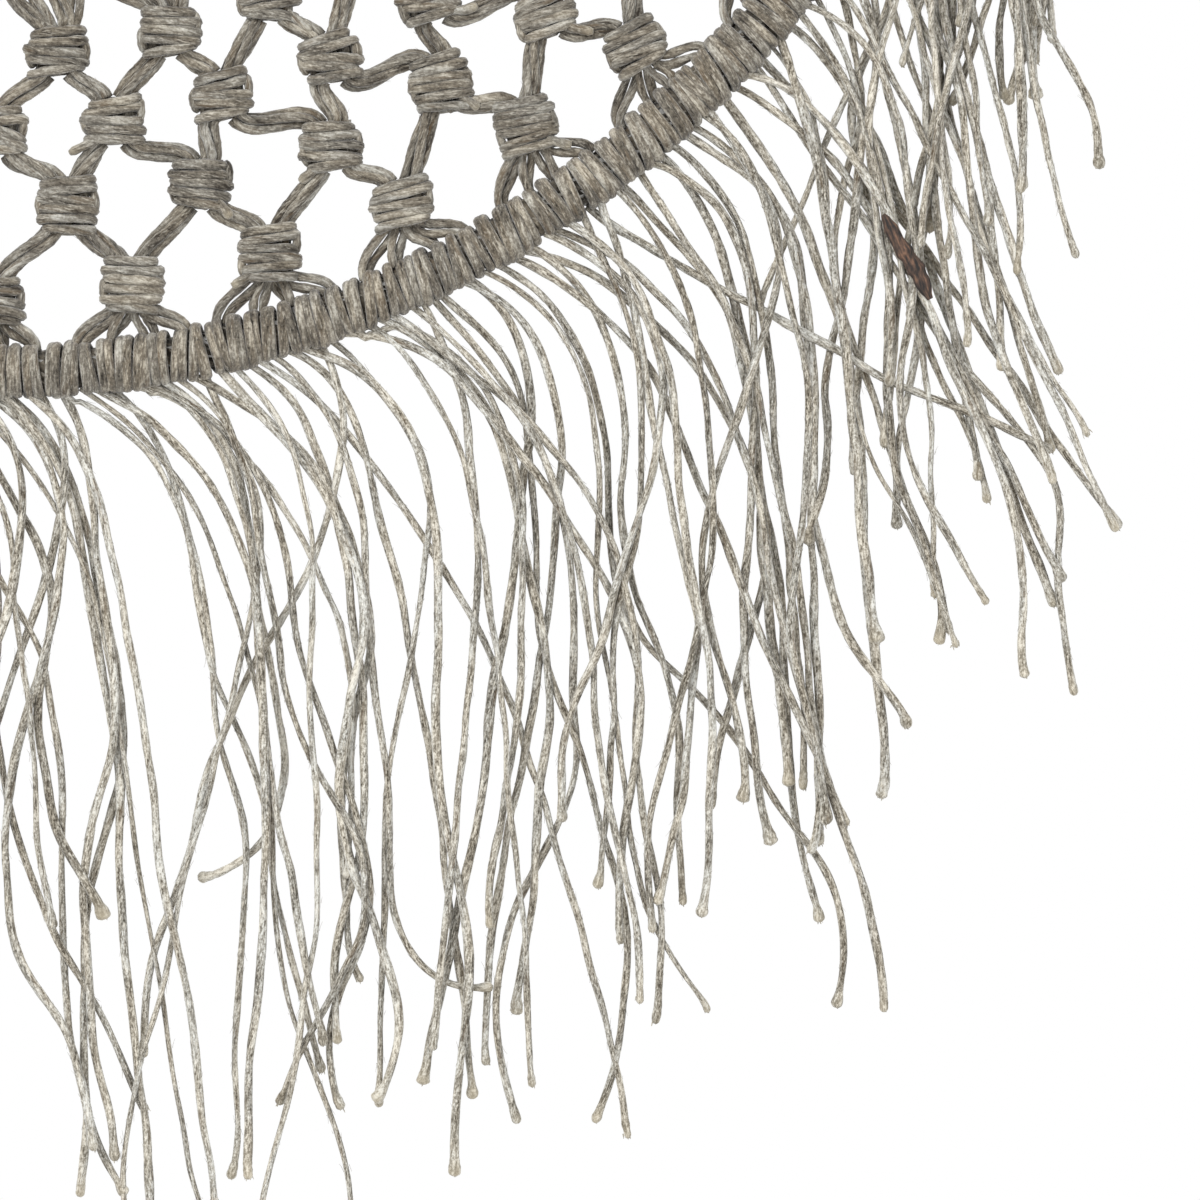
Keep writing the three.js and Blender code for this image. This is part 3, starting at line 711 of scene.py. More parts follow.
def ring_winding(ring_radius, wind_radius, start, stop):
    """One twine wound round a ring from one angle to another, its turns side by side but uneven."""
    pitch = math.degrees(WINDING_PITCH / ring_radius)
    turns = max(2, round((stop - start) / pitch))
    steps = turns * PER_TURN + 1
    u = np.linspace(0, turns, steps)
    around = 2 * np.pi * u
    lean, shift, bulge = smooth_noise(3, turns // 2 + 1, steps)
    jitter, swell = smooth_noise(2, turns * 2, steps)
    widths = rng.uniform(0.8, 1.1, turns) + 0.3 * (rng.uniform(0, 1, turns) < 1 / TURNS_PER_CREVICE)
    edges = np.append(0, np.cumsum(widths)) / widths.sum()
    angle = start + (stop - start) * np.interp(u, np.arange(turns + 1), edges)
    wander = 0.5 * lean * np.cos(around) + 0.2 * shift + 0.15 * jitter + 0.24 * np.sin(around / 2)
    angle = angle + pitch * wander
    out = wind_radius * (1 + 0.06 * bulge + 0.05 * swell)
    path = on_circle(ring_radius + out * np.cos(around), angle, -out * np.sin(around))
    radius = TWINE / 2 * (1.04 + 0.08 * swell + 0.09 * bulge)
    return path[None], radius[None], sideways(angle)[None]


def build_windings(name_base, cad_base, count, ring_radius, core_radius, wind_radius, material):
    """One piece for each CAD sleeve, over the same stretch of the ring: a wound twine, and the dark
    bundle of carried cords that shows between its turns."""
    for index in range(count):
        cad = f"{cad_base}_{index + 1:02d}"
        start, stop = SLEEVES[cad]
        cords = Cords()
        path, radius, along = ring_winding(ring_radius, wind_radius, start, stop)
        cords.add(path, radius, sides=10, twist=90 * MM, lobes=0.05, tone=-0.1, side=along, flat=0.14)
        carried = on_circle(ring_radius, np.linspace(start, stop, 1 + int((stop - start) / 2)))
        cords.add(carried[None], core_radius + 0.45 * MM, sides=16, lobes=0.02, tone=BUNDLE_TONE)
        add_fuzz(cords, path, int(6 * (stop - start)), 1.5 * MM)
        cords.build(f"{name_base}_{index + 1:02d}", material, "hoop", "wrapped_twine", [cad])


def sleeve_spans(base, tie, clear, lower_count):
    """What each CAD sleeve covers of the ring: the long lower part in equal shares, then the top."""
    spans = {}
    share = 2 * (tie - clear) / lower_count
    for i in range(lower_count):
        start = -tie + clear + i * share
        spans[f"{base}_{i + 1:02d}"] = (start, start + share)
    spans[f"{base}_{lower_count + 1:02d}"] = (tie + clear, 360 - tie - clear)
    return spans


def tie_angle(joint, ring_radius):
    """Where a pair of ties sits, in degrees from the bottom, from the height of the joint through them."""
    height = JOINTS[joint][2] - HOOP_Z
    return 180 - math.degrees(math.acos(height / ring_radius))


JOINTS = {j["name"]: j["pos_m"] for j in frame["record"]["behaviour"]["joints"]}
HOOP_TIE = tie_angle("hoop_tilt", HOOP_R)
CRADLE_TIE = tie_angle("cradle_tilt", INNER_R)
HOOP_TIE_HALF = 6 * MM
CRADLE_TIE_HALF = 5 * MM
TIE_GAP = 0.9 * MM
SLEEVES = {
    **sleeve_spans("hoop_wrap", HOOP_TIE, math.degrees((HOOP_TIE_HALF + TIE_GAP) / HOOP_R), 9),
    **sleeve_spans("inner_ring_wrap", CRADLE_TIE, math.degrees((CRADLE_TIE_HALF + TIE_GAP) / INNER_R), 5),
}


# ---- Square knots and the net ----------------------------

PASS_PITCH = 1.85 * MM              # between neighbouring passes of twine on the face of a knot


def square_knot(cords, place, right, up, front, half_width=5.5 * MM, half_depth=2.75 * MM, passes=5):
    """Passes of twine across a bundle, in bands that slant one way and the other, with their bends at
    the sides. Each pass goes round behind far enough to close against the next one."""
    steps = 34
    t = np.linspace(-math.radians(200), math.radians(200), steps)
    hidden = np.clip((np.abs(t) - math.radians(150)) / math.radians(50), 0, 1)
    bands = np.arange((passes + 1) // 2)
    slants = np.repeat(rng.normal(0, 0.5, bands.size) + 0.42 * (-1) ** bands, 2)[:passes] * MM
    slants[-1] += rng.uniform(-0.9, 0.2) * MM
    loops = []
    for level in range(passes):
        height = ((passes - 1) / 2 - level) * PASS_PITCH
        barrel = 1 - 0.15 * (2 * level / (passes - 1) - 1) ** 2
        wide = half_width * barrel * (1 + rng.normal(0, 0.035))
        deep = half_depth * (1 + rng.normal(0, 0.05))
        offset = rng.normal(0, 0.22) * MM
        x = wide * np.sign(np.sin(t)) * np.abs(np.sin(t)) ** 0.75 + offset
        y = deep * np.sign(np.cos(t)) * np.abs(np.cos(t)) ** 0.62
        shrink = 1 - 0.5 * hidden
        sag = 0.22 * MM * smooth_noise(1, 5, steps)[0]
        z = height + slants[level] * np.sin(t) + sag
        loops.append(place + (x * shrink)[:, None] * right + (y * shrink)[:, None] * front
                     + z[:, None] * up)
    loops = np.array(loops)
    # Each knot's tone is set a little below the fringe's, as painted shade of its close-packed passes.
    tone = rng.normal(-0.4, 0.4)
    lanes = np.array([-1, 0, 1])[:, None, None] * half_width * 0.54 * right
    core = np.linspace(-0.5, 0.5, 6)[:, None] * passes * PASS_PITCH * up
    # The core of carried cords inside the knot gets a much lower tone: painted shade, as it lies hidden
    # between the passes.
    cords.add(place + lanes + core, half_width * 0.28, tone=tone - 1.5)
    cords.add(loops, twine_radius(passes, steps, 5, 1.10), side=up, flat=0.03,
              tone=tone + rng.normal(0, 0.25, passes))
    bend = np.linspace(-0.8 * math.pi, 0.8 * math.pi, 12)
    for side in (-1, 1):
        middle = rng.uniform(-0.2, 1.2) * side * PASS_PITCH
        x = side * (half_width - 0.9 * MM + 0.9 * MM * np.cos(bend / 2))
        z = middle + PASS_PITCH * np.sin(bend / 1.7)
        arc = (place + x[:, None] * right + z[:, None] * up
               + (0.5 + 0.8 * np.cos(bend))[:, None] * MM * front)
        cords.add(arc[None], twine_radius(1, 12, 3), side=front, tone=tone)
    return loops


def add_stub(cords, base, way, length):
    """The cut end of a working cord, left sticking out of a knot."""
    t = np.linspace(0, 1, 8)[:, None]
    paths = (base + t * length * way + 0.15 * length * t**2 * rng.normal(0, 1, 3))[None]
    cords.add(paths, TWINE / 2 * np.array([[1, 1, 1, 1, 1.04, 1.1, 1.1, 0.7]]),
              tip=np.array([[0, 0, 0, 0, 0.05, 0.1, 0.25, 0.4]]))
    add_frayed_ends(cords, paths, 4)


def knot_tilt(angle):
    """A knot faces the middle of the hoop, but the sagging net holds it more upright near the bottom."""
    angle = (angle + 180) % 360 - 180
    upright = 17 * math.sin(math.radians(np.clip(3.2 * angle, -90, 90)))
    return angle - upright * math.cos(math.radians(angle / 2))


def knot_frame(angle):
    tilt = math.radians(knot_tilt(angle))
    right = np.array([math.cos(tilt), 0, math.sin(tilt)])
    up = np.array([-math.sin(tilt), 0, math.cos(tilt)])
    return right, up


ROW_RADII = [HOOP_R - inset * MM for inset in (14.6, 31.6, 47.2, 62.6)]


def knot_place(row, number):
    """Middle, angle and frame of one knot: rows are staggered, and the odd rows lean along the hoop."""
    number = number % (2 * COLUMNS)
    angle = number * PITCH / 2
    lean = 4.6 * MM * math.sin(math.radians(3 * angle + 12)) * (row % 2)
    wander = KNOT_WANDER[row, number]
    place = (on_circle(ROW_RADII[row], angle) + (lean + wander[0]) * sideways(angle)
             + wander[1] * outward(angle))
    right, up = knot_frame(angle + wander[2] / MM * 4)
    return place, angle, right, up


KNOT_WANDER = rng.normal(0, 0.5, (ROWS, 2 * COLUMNS, 3)) * MM
KNOT_HALF_HEIGHT = 4.2 * MM
HITCH_LAG = 0.7                     # degrees by which the hitches trail the knot that they belong to
STUB_SHARE = 0.5                    # of the knots have a cut cord end sticking out


def net_strands(row, number):
    """The two bundles of four cords from a knot to its neighbours in the row nearer the middle."""
    place, angle, right, up = knot_place(row, number)
    strands = []
    for side in (-1, 1):
        top = place + side * 1.7 * MM * right + KNOT_HALF_HEIGHT * up
        if row < ROWS - 1:
            far, _, far_right, far_up = knot_place(row + 1, number + side)
            start = far - side * 2.5 * MM * far_right - KNOT_HALF_HEIGHT * far_up
            stop_way = unit(0.7 * side * far_right + far_up)
            route = hermite(top, start, unit(0.5 * side * right + up), stop_way, 18)
            turns, spin = rng.uniform(-0.3, 0.3), rng.uniform(0, 2)
            strands.append(bundle(route, 4, 1.16 * MM, turns, FRONT, spin, 0.05))
        else:
            for k in range(2):
                reach = angle + side * (0.11 + 0.24 * k) * PITCH
                end = on_circle(INNER_R + INNER_WIND_R - 0.4 * MM, reach)
                route = hermite(top, end, unit(side * (0.3 + 0.5 * k) * right + up), -outward(reach), 18)
                strands.append(bundle(route, 2, 0.9 * MM, rng.uniform(-0.3, 0.3), FRONT))
    return strands


def hoop_legs(number):
    """Eight cords that fan out in pairs from a knot of the outer row to their hitches on the hoop."""
    place, angle, right, up = knot_place(0, number)
    legs = []
    for k in range(4):
        share = (k - 1.5) / 4
        reach = angle + share * PITCH - HITCH_LAG + rng.normal(0, 0.15)
        start = place + share * 6.5 * MM * right - KNOT_HALF_HEIGHT * up
        end = on_circle(HOOP_R - HOOP_WIND_R + 0.8 * MM, reach, rng.uniform(-1, 1) * MM)
        route = hermite(start, end, unit(share * 1.9 * right - up), outward(reach), 12)
        legs.append(bundle(route, 2, 0.9 * MM, rng.uniform(-0.3, 0.3), FRONT))
    return legs


def build_net(material):
    for panel in range(PANELS):
        knots = Cords()
        cords = Cords()
        strands = []
        legs = []
        for row in range(ROWS):
            for column in range(COLUMNS // PANELS):
                number = 2 * (panel * COLUMNS // PANELS + column) + row % 2
                place, _, right, up = knot_place(row, number)
                square_knot(knots, place, right, up, FRONT, passes=int(rng.choice((5, 5, 6))))
                strands += net_strands(row, number)
                if row == 0:
                    legs += hoop_legs(number)
                if rng.uniform() < STUB_SHARE:
                    side = rng.choice((-1, 1), p=(0.3, 0.7))
                    base = place + side * 3.2 * MM * right - 3.6 * MM * up + 2.0 * MM * FRONT
                    way = unit(side * rng.uniform(0.8, 1.8) * right - up)
                    add_stub(knots, base, way, rng.uniform(3.2, 6.0) * MM)
        for paths in map(np.concatenate, (strands, legs)):
            count, steps, _ = paths.shape
            # The net's cords get a tone a little below the fringe's, as painted shade of the dense net; the
            # spread is their random tone.
            cords.add(paths, twine_radius(count, steps, 4, 1.04), tone=rng.normal(-0.4, 0.6, count))
            add_fuzz(cords, paths, 6, 1.8 * MM)
        number = f"{panel + 1:02d}"
        cords.build(f"net_cords_{number}", material, "hoop", "twine", [f"net_panel_{number}"])
        knots.build(f"net_knots_{number}", material, "hoop", "twine")


# ---- Hanging ring and hanger -----------------------------

STRAP_CORDS = 8
STRAP_KNOT_PITCH = 9.9 * MM
TIE_RISE = 11.5 * MM                # how far above the hoop's wire a strap's knots end


def build_hanging_ring(material):
    """A round wire bent to a ring, with the small swelling of its butt weld to the right of the top."""
    low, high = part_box("hanging_ring")
    wire = 2 * MM
    middle = (high[2] + low[2]) / 2
    radius = (high[0] - low[0]) / 2 - wire
    weld = math.radians(30)
    angle = np.linspace(weld, weld + 2 * math.pi, 145)
    route = np.stack([radius * np.sin(angle), 0 * angle, middle + radius * np.cos(angle)], -1)
    to_weld = np.minimum(angle - angle[0], angle[-1] - angle)
    swelling = 1 + 0.07 * np.exp(-(to_weld / 0.05) ** 2) - 0.05 * np.exp(-(to_weld / 0.012) ** 2)
    ring = Cords()
    ring.add(route[None], wire * swelling[None], sides=28, lobes=0, side=FRONT)
    ring.build("hanging_ring_wire", material, "mount_ring", "steel_wire", ["hanging_ring"])


def wound_core(cad, turns, share, sides, core_end, core_points, fuzz):
    """Twine wound round an upright bundle, to fill the box of a CAD node."""
    low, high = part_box(cad)
    radius = (high[0] - low[0]) / 2
    made = Cords()
    half_twine = TWINE / 2
    foot = np.array([0, 0, low[2] + half_twine])
    path = coil(foot, UP, RIGHT, [radius - half_twine] * 2, high[2] - low[2] - TWINE, turns)
    made.add(path, twine_radius(1, path.shape[1], turns * 2, share), sides, side=UP, flat=0.05)
    core = np.linspace(low[2] + core_end, high[2] - core_end, core_points)[:, None] * UP
    made.add(core[None], radius - 1.5 * MM, sides=20, lobes=0, tone=BUNDLE_TONE)
    add_fuzz(made, path, fuzz, 1.8 * MM)
    return made


def build_hanger(twine, wound):
    """Cords folded over the ring, gathered under it, and knotted into two straps down to the hoop."""
    swing = JOINTS["hanger_swing"][2]
    low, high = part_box("gathering_wrap")
    over_ring = Cords()
    lanes = [(x, 3.9) for x in (-2.8, -0.95, 0.95, 2.8)] + [(x, 5.4) for x in (-1.9, 0.0, 1.9)]
    for x, reach in lanes:
        turn = np.linspace(-math.pi / 2, math.pi / 2, 18)
        out = reach * MM
        fold = np.stack([0 * turn + x * MM, out * np.sin(turn), swing + out * np.cos(turn)], -1)
        legs = []
        for side in (-1, 1):
            drop = np.linspace(0, 1, 12)[1:, None]
            foot = np.array([0.35 * x, side * 0.72 * reach, 0]) * MM + (low[2] - 1 * MM) * UP
            top = np.array([x * MM, side * out, swing])
            slack = np.sin(math.pi * drop) * 0.25 * MM * rng.normal(0, 1, 3)
            legs.append(top + (foot - top) * drop + slack)
        route = np.concatenate([legs[0][::-1], fold, legs[1]])
        over_ring.add(route[None], twine_radius(1, len(route)))
    over_ring.build("hanger_fold", twine, "hanger", "twine", ["hanger_loop"])

    turns = round((high[2] - low[2]) / (1.75 * MM))
    gathering = wound_core("gathering_wrap", turns, 1.04, 8, 1.2 * MM, 8, 260)
    gathering.build("gathering_winding", wound, "hanger", "wrapped_twine", ["gathering_wrap"])

    for label, side in (("left", -1), ("right", 1)):
        build_strap(label, side, low[2], twine)
        build_hoop_tie(label, side, wound)


def build_strap(label, side, gathered, material):
    """A flat sinnet: square knots one under the other on four carried cords, then cords that spread out
    to their hitches on the hoop."""
    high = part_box(f"{label}_hanger_sinnet")[1]
    tie = on_circle(HOOP_R, side * HOOP_TIE)
    top = np.array([side * 4.2 * MM, 0, high[2]])
    tip = tie + TIE_RISE * unit(top - tie)
    down = unit(tip - top)
    across = np.cross(FRONT, down)
    strap = Cords()
    length = np.linalg.norm(tip - top)
    count = int(length / STRAP_KNOT_PITCH)
    for k in range(count):
        place = top + down * ((k + 0.5) * length / count + rng.normal(0, 0.15) * MM)
        lean = rng.normal(0, 0.03)
        square_knot(strap, place, unit(across + lean * down), -unit(down - lean * across), FRONT,
                    half_width=3.9 * MM, half_depth=2.3 * MM)
    carried = np.linspace(0, 1, 60)[:, None] * (tip - top) + top
    strap.add(bundle(carried, 4, 1.2 * MM, 0.6, FRONT, math.pi / 4), twine_radius(4, 60, 20))
    shares = np.linspace(-1, 1, STRAP_CORDS)
    for share in shares:
        depth = rng.uniform(-3.6, 3.6)
        start = np.array([side * 1.5 + share * 2.6, depth, 0]) * MM + (gathered + 1 * MM) * UP
        stop = top + share * 2.6 * MM * across + rng.uniform(-1, 1) * MM * FRONT + 2 * MM * down
        strap.add(hermite(start, stop, -UP, down, 10)[None], twine_radius(1, 10))
    spread = []
    for k, share in enumerate(shares):
        layer = k % 2 - 0.5
        reach = side * HOOP_TIE + share * math.degrees(HOOP_TIE_HALF * 0.72 / HOOP_R)
        start = tip + share * 1.9 * MM * across - 0.5 * MM * down + layer * 1.6 * MM * FRONT
        stop = on_circle(HOOP_R + 5.2 * MM, reach, layer * 2 * MM)
        spread.append(hermite(start, stop, down, -outward(reach), 12))
    strap.add(np.array(spread), twine_radius(STRAP_CORDS, 12))
    add_fuzz(strap, carried[None], 90, 5 * MM)
    strap.build(f"{label}_strap", material, "hanger", "twine", [f"{label}_hanger_sinnet"])


def tie_winding(ring_radius, wind_radius, angle, half_length, share):
    """Cords hitched side by side round a ring. Also gives their path, and half their reach in degrees."""
    made = Cords()
    half = math.degrees((half_length - TWINE / 2) / ring_radius)
    path, radius, along = ring_winding(ring_radius, wind_radius, angle - half, angle + half)
    made.add(path, radius * share, sides=10, lobes=0.05, tone=0.0, side=along, flat=0.1)
    return made, path, half


def build_hoop_tie(label, side, material):
    """The strap's cords hitched side by side round the hoop."""
    tie, path, half = tie_winding(HOOP_R, 5.45 * MM, side * HOOP_TIE, HOOP_TIE_HALF, 0.98)
    bight = np.linspace(-half, half, 16)
    ridge = on_circle(HOOP_R + 6.2 * MM, side * HOOP_TIE + bight, -1.2 * MM)
    tie.add(ridge[None], twine_radius(1, 16))
    add_fuzz(tie, path, 90, 1.8 * MM)
    tie.build(f"{label}_tie_winding", material, "hanger", "wrapped_twine", [f"{label}_hoop_tie"])


# ---- Cradle ----------------------------------------------

BASKET_COLUMNS = 8
RUN_STEPS = 20                      # points along each cord on the pot's wall
LEG_CORDS = 8
TASSEL_CORDS = 46
GOLDEN_ANGLE = 2.39996              # radians
POT_LO, POT_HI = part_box("pot")
POT_RIM_R = (POT_HI[0] - POT_LO[0]) / 2
POT_BASE_R = 37 * MM
BASKET_KNOTS = [HOOP_Z + height * MM for height in (12, -11, -34)]


def pot_radius(z):
    share = (z - POT_LO[2]) / (POT_HI[2] - POT_LO[2])
    return POT_BASE_R + (POT_RIM_R - POT_BASE_R) * share


def on_pot(azimuth, z, proud):
    """A point beside the pot's wall. Azimuth is in degrees from the front, turning towards +X."""
    turn = np.radians(azimuth)
    radius = pot_radius(z) + proud
    azimuth, z, radius, turn = np.broadcast_arrays(azimuth, z, radius, turn)
    return np.stack([radius * np.sin(turn), -radius * np.cos(turn), z], -1)


def pot_frame(azimuth):
    turn = math.radians(azimuth)
    away = np.array([math.sin(turn), -math.cos(turn), 0])
    right = np.array([math.cos(turn), math.sin(turn), 0])
    slope = (POT_RIM_R - POT_BASE_R) / (POT_HI[2] - POT_LO[2])
    up = unit(UP + slope * away)
    return right, up, np.cross(right, up)


def wall_run(start, stop, bow):
    """Two cords side by side on the pot's wall, between (azimuth, z) and (azimuth, z)."""
    t = np.linspace(0, 1, RUN_STEPS)
    ease = t + bow * np.sin(2 * np.pi * t) / (2 * np.pi)
    azimuth = start[0] + (stop[0] - start[0]) * ease
    z = start[1] + (stop[1] - start[1]) * t
    route = on_pot(azimuth, z, 1.5 * MM)
    away = unit(route * np.array([1, 1, 0]))
    return bundle(route, 2, 0.92 * MM, rng.uniform(-0.12, 0.12), away)


def build_basket(material):
    """Three rows of knots on the pot's wall, joined by pairs of cords, that gather under the pot."""
    basket = Cords()
    runs = []
    under = []
    pitch = 360 / BASKET_COLUMNS
    half_height = 3.6 * MM
    for row, height in enumerate(BASKET_KNOTS):
        for i in range(BASKET_COLUMNS):
            azimuth = (i + 0.5 * (row % 2 == 0)) * pitch
            right, up, away = pot_frame(azimuth)
            place = on_pot(azimuth, height, 1.9 * MM) + rng.normal(0, 0.3) * MM * right
            square_knot(basket, place, right, up, away, half_width=3.5 * MM, half_depth=1.5 * MM, passes=4)
            for side in (-1, 1):
                port = math.degrees(1.3 * MM / pot_radius(height))
                if row < 2:
                    below = (azimuth + side * (pitch / 2 - port), BASKET_KNOTS[row + 1] + half_height)
                    runs.append(wall_run((azimuth + side * port, height - half_height), below, -0.5))
                else:
                    for k in range(2):
                        lane = side * (0.5 + 1.0 * k)
                        under.append(under_pot(azimuth, lane * 1.9 * MM, height - half_height)[None])
    for side in (-1, 1):
        for depth in (-1, 1):
            azimuth = leg_azimuth(side, depth)
            right, up, away = pot_frame(azimuth)
            for turn in (-1, 1):
                knot = azimuth + turn * pitch / 2
                top = on_pot(azimuth, POT_HI[2] + 1.2 * MM, 3.6 * MM) + turn * 1.2 * MM * right
                stop = on_pot(knot, BASKET_KNOTS[0] + half_height, 1.7 * MM)
                far_right, far_up, _ = pot_frame(knot)
                stop_way = unit(turn * 0.4 * far_right - far_up)
                route = hermite(top, stop, unit(turn * 0.5 * right - up), stop_way, RUN_STEPS)
                runs.append(bundle(route, 4, 1.15 * MM, 0.4, away, math.pi / 4))
    for paths in map(np.concatenate, (runs, under)):
        basket.add(paths, twine_radius(*paths.shape[:2], 5))
        add_fuzz(basket, paths, 8, 1.8 * MM)
    basket.build("basket_net", material, "cradle", "twine", ["pot_basket"])


def under_pot(azimuth, lane, top):
    """One cord from the lowest knots down the wall, round the pot's foot and in to the gathering knot."""
    right, _, away = pot_frame(azimuth)
    level = np.array([1, 1, 0])
    outward_way = unit(away * level)
    foot = POT_LO[2]
    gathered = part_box("gathering_knot")[1][2] - 1.0 * MM
    inside = 3.4 + 1.6 * abs(lane) / (2 * MM)
    stops = [
        (pot_radius(top) + 1.5 * MM, top, 1.0),
        (POT_BASE_R + 3.2 * MM, foot + 10 * MM, 1.25),
        (POT_BASE_R + 1.7 * MM, foot + 2 * MM, 1.35),
        (POT_BASE_R - 1.5 * MM, foot - 1.3 * MM, 1.3),
        (POT_BASE_R - 12 * MM, foot - 2.2 * MM, 1.0),
        (14 * MM, foot - 3.4 * MM, 0.75),
        (inside * MM, gathered, 0.35),
    ]
    knots = np.array([r * outward_way + lane * wide * right * level + z * UP for r, z, wide in stops])
    steered = np.concatenate([[2 * knots[0] - knots[1]], knots, [2 * knots[-1] - knots[-2]]])
    return catmull_rom(steered.T, 34).T


def leg_azimuth(side, depth):
    """Where the leg of one side, in front (-1) or behind (1), meets the pot's rim."""
    return math.degrees(math.atan2(side, -depth))


def build_cradle_side(label, side, twine, wound):
    """The tie on the small ring, its neck, and the two legs that lead from it to the pot's rim."""
    angle = side * CRADLE_TIE
    tie, path, _ = tie_winding(INNER_R, 3.75 * MM, angle, CRADLE_TIE_HALF, 0.95)
    middle = on_circle(INNER_R, angle)
    inward = -outward(angle)
    across = sideways(angle)
    neck_top = middle + 4.6 * MM * inward
    neck_turns = 4
    neck = coil(neck_top, inward, across, (2.7 * MM, 5.0 * MM), 6.4 * MM, neck_turns)
    tie.add(neck, twine_radius(1, neck.shape[1], neck_turns * 2), sides=10, side=inward)
    for k in range(LEG_CORDS):
        lane = np.array([(k % 4 - 1.5) * 1.6, (k // 4 - 0.5) * 6.0]) * MM
        start = middle + 3.6 * MM * inward + lane[0] * across + 0.55 * lane[1] * -FRONT
        stop = neck_top + 7.5 * MM * inward + 0.7 * lane[0] * across + lane[1] * -FRONT
        tie.add(hermite(start, stop, inward, inward, 10)[None], twine_radius(1, 10))
    add_fuzz(tie, path, 60, 1.6 * MM)
    tie.build(f"{label}_cradle_winding", wound, "cradle", "wrapped_twine", [f"{label}_cradle_tie"])
    for name, depth in (("front", -1), ("back", 1)):
        leg = Cords()
        start = neck_top + 6.6 * MM * inward + depth * 3.6 * MM * -FRONT
        stop = on_pot(leg_azimuth(side, depth), POT_HI[2] + 1.0 * MM, 3.8 * MM)
        way = unit(stop - start)
        route = hermite(start, stop, unit(way + 0.25 * inward), way, 70)
        around = bundle(route, LEG_CORDS - 1, 1.85 * MM, 2.6, FRONT, swell=0.04)
        leg.add(around, twine_radius(LEG_CORDS - 1, 70, 14))
        leg.add(route[None], twine_radius(1, 70, 14))
        add_fuzz(leg, route[None], 80, 4 * MM)
        leg.build(f"{label}_{name}_leg_cords", twine, "cradle", "twine", [f"{label}_{name}_leg"])


def build_tassel(twine, wound):
    """The gathering knot under the pot, and the loose ends that fan out below it."""
    knot = wound_core("gathering_knot", 6, 1.05, 10, 1 * MM, 6, 90)
    knot.build("gathering_knot_winding", wound, "cradle", "wrapped_twine", ["gathering_knot"])

    low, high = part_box("tassel")
    steps = 40
    t = np.linspace(0, 1, steps)
    tassel = Cords()
    paths = []
    for k in range(TASSEL_CORDS):
        share = math.sqrt((k + 0.5) / TASSEL_CORDS)
        azimuth = k * GOLDEN_ANGLE
        spread = (4.9 + 4.6 * t**1.3) * MM * share
        length = (high[2] - low[2]) * rng.uniform(0.84, 1.0)
        sway = smooth_noise(2, 4, steps) * 0.7 * MM * t
        x = spread * math.cos(azimuth) + sway[0]
        y = spread * math.sin(azimuth) + sway[1]
        paths.append(np.stack([x, y, high[2] + 2.5 * MM - (length + 1.5 * MM) * t], -1))
    paths = np.array(paths)
    pale = np.clip((t - 0.88) * 6, 0, 0.7)
    tassel.add(paths, twine_radius(TASSEL_CORDS, steps, 5), tip=pale[None])
    add_frayed_ends(tassel, paths)
    add_fuzz(tassel, paths, 12, 1.8 * MM)
    tassel.build("tassel_cords", twine, "cradle", "twine", ["tassel"])


# ---- Pot -------------------------------------------------

POT_SIDES = 144


def pot_profile():
    """Radius and height from the middle of the foot, up the outside, over the rim and to the middle."""
    base, rim = POT_LO[2], POT_HI[2]
    height = rim - base
    wall = 4 * MM
    floor = base + 5 * MM
    foot = [(0, base + 0.6 * MM)] + [(POT_BASE_R - inset * MM, base + rise * MM) for inset, rise in (
        (6, 0.6), (5, 0.1), (1.8, 0), (0.6, 0.5), (0.1, 1.4))]
    outer = []
    for t in np.linspace(0, 1, 60):
        z = base + 2.2 * MM + (height - 4.2 * MM) * t
        ripple = 0.13 * MM * math.sin(t * 46) * (0.6 + 0.4 * math.sin(t * 9))
        outer.append((pot_radius(z) - 0.15 * MM + ripple, z))
    middle = POT_RIM_R - wall / 2
    lip = [(middle + wall / 2 * math.cos(a) - 0.05 * MM, rim - 2.0 * MM + 2.0 * MM * math.sin(a))
           for a in np.linspace(0.15, math.pi - 0.15, 12)]
    inner = []
    for t in np.linspace(1, 0, 30):
        z = floor + 3 * MM + (rim - floor - 5 * MM) * t
        inner.append((pot_radius(z) - wall + 0.08 * MM * math.sin(t * 52), z))
    corner = POT_BASE_R - wall
    bottom = [(corner - 0.3 * MM, floor + 1.1 * MM), (corner - 1.8 * MM, floor + 0.15 * MM),
              (corner - 4 * MM, floor), (0, floor)]
    return foot + outer + lip + inner + bottom


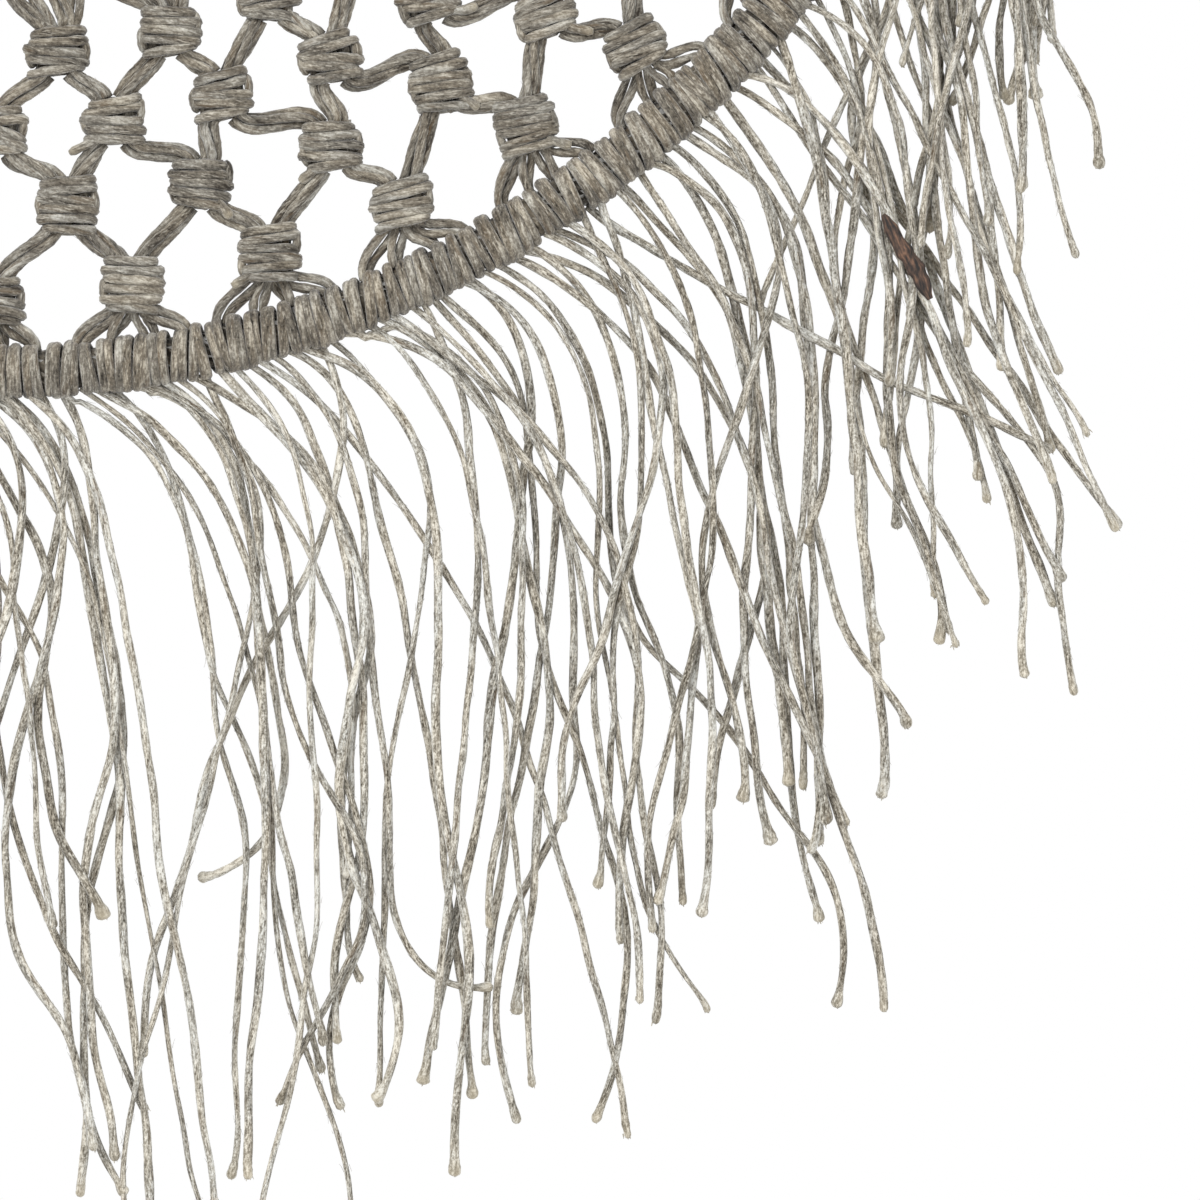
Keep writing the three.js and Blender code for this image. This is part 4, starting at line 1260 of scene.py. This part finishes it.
def build_pot(material):
    """A thrown pot: rounded rim, faint throwing rings on the wall, a turned foot and a flat floor."""
    profile = pot_profile()
    verts, faces = [], []
    for r, z in profile[1:-1]:
        for k in range(POT_SIDES):
            turn = 2 * math.pi * k / POT_SIDES
            verts.append((r * math.cos(turn), r * math.sin(turn), z))
    last = len(profile) - 3
    for low in range(0, last * POT_SIDES, POT_SIDES):
        for k in range(POT_SIDES):
            n = (k + 1) % POT_SIDES
            faces.append((low + k, low + n, low + POT_SIDES + n, low + POT_SIDES + k))
    for (_, z), ring, order in ((profile[0], 0, -1), (profile[-1], last * POT_SIDES, 1)):
        for k in range(POT_SIDES):
            faces.append((len(verts), ring + k, ring + (k + 1) % POT_SIDES)[::order])
        verts.append((0, 0, z))
    mesh = bpy.data.meshes.new("pot_body")
    mesh.from_pydata(verts, [], faces)
    place_piece("pot_body", mesh, material, "pot", ["pot"])


# ---- Assembly --------------------------------------------

build_camera()
twine = twine_material("twine", (66, 60, 50), (141, 136, 126), (206, 204, 197), 1.0, 0.6)
# The knotted and the wrapped twine are darker copies of the twine: their lower colours are painted shade of
# the packed knots and net, and of the tight turns of the windings and their crevices.
knotted = twine_material("knotted_twine_shaded", (42, 36, 29), (116, 110, 100), (184, 181, 172), 0.5, 0.7)
wound = twine_material("wrapped_twine", (30, 25, 18), (109, 102, 91), (190, 185, 173), 0.5, 0.8)
steel = metal_material()
build_fringe(twine, bark_material())
build_light()
build_windings("hoop_winding", "hoop_wrap", 10, HOOP_R, HOOP_WIRE, HOOP_WIND_R, wound)
build_windings("inner_ring_winding", "inner_ring_wrap", 6, INNER_R, INNER_WIRE, INNER_WIND_R, wound)
build_net(knotted)
build_hanging_ring(steel)
build_hanger(knotted, wound)
for label, side in (("left", -1), ("right", 1)):
    build_cradle_side(label, side, knotted, wound)
build_basket(knotted)
build_tassel(twine, wound)
build_pot(pot_material())
for name in ("hoop_core", "inner_ring_core"):
    for slot in bpy.data.objects[name].material_slots:
        slot.material = steel

FLOOR_Z = -1.3
FLOOR_CORNERS = ((-6, -6), (6, -6), (6, 6), (-6, 6))
floor_mesh = bpy.data.meshes.new("floor")
floor_mesh.from_pydata([(x, y, FLOOR_Z) for x, y in FLOOR_CORNERS], [], [(0, 1, 2, 3)])
floor_mesh.materials.append(floor_material())
floor = add_object("floor", floor_mesh)
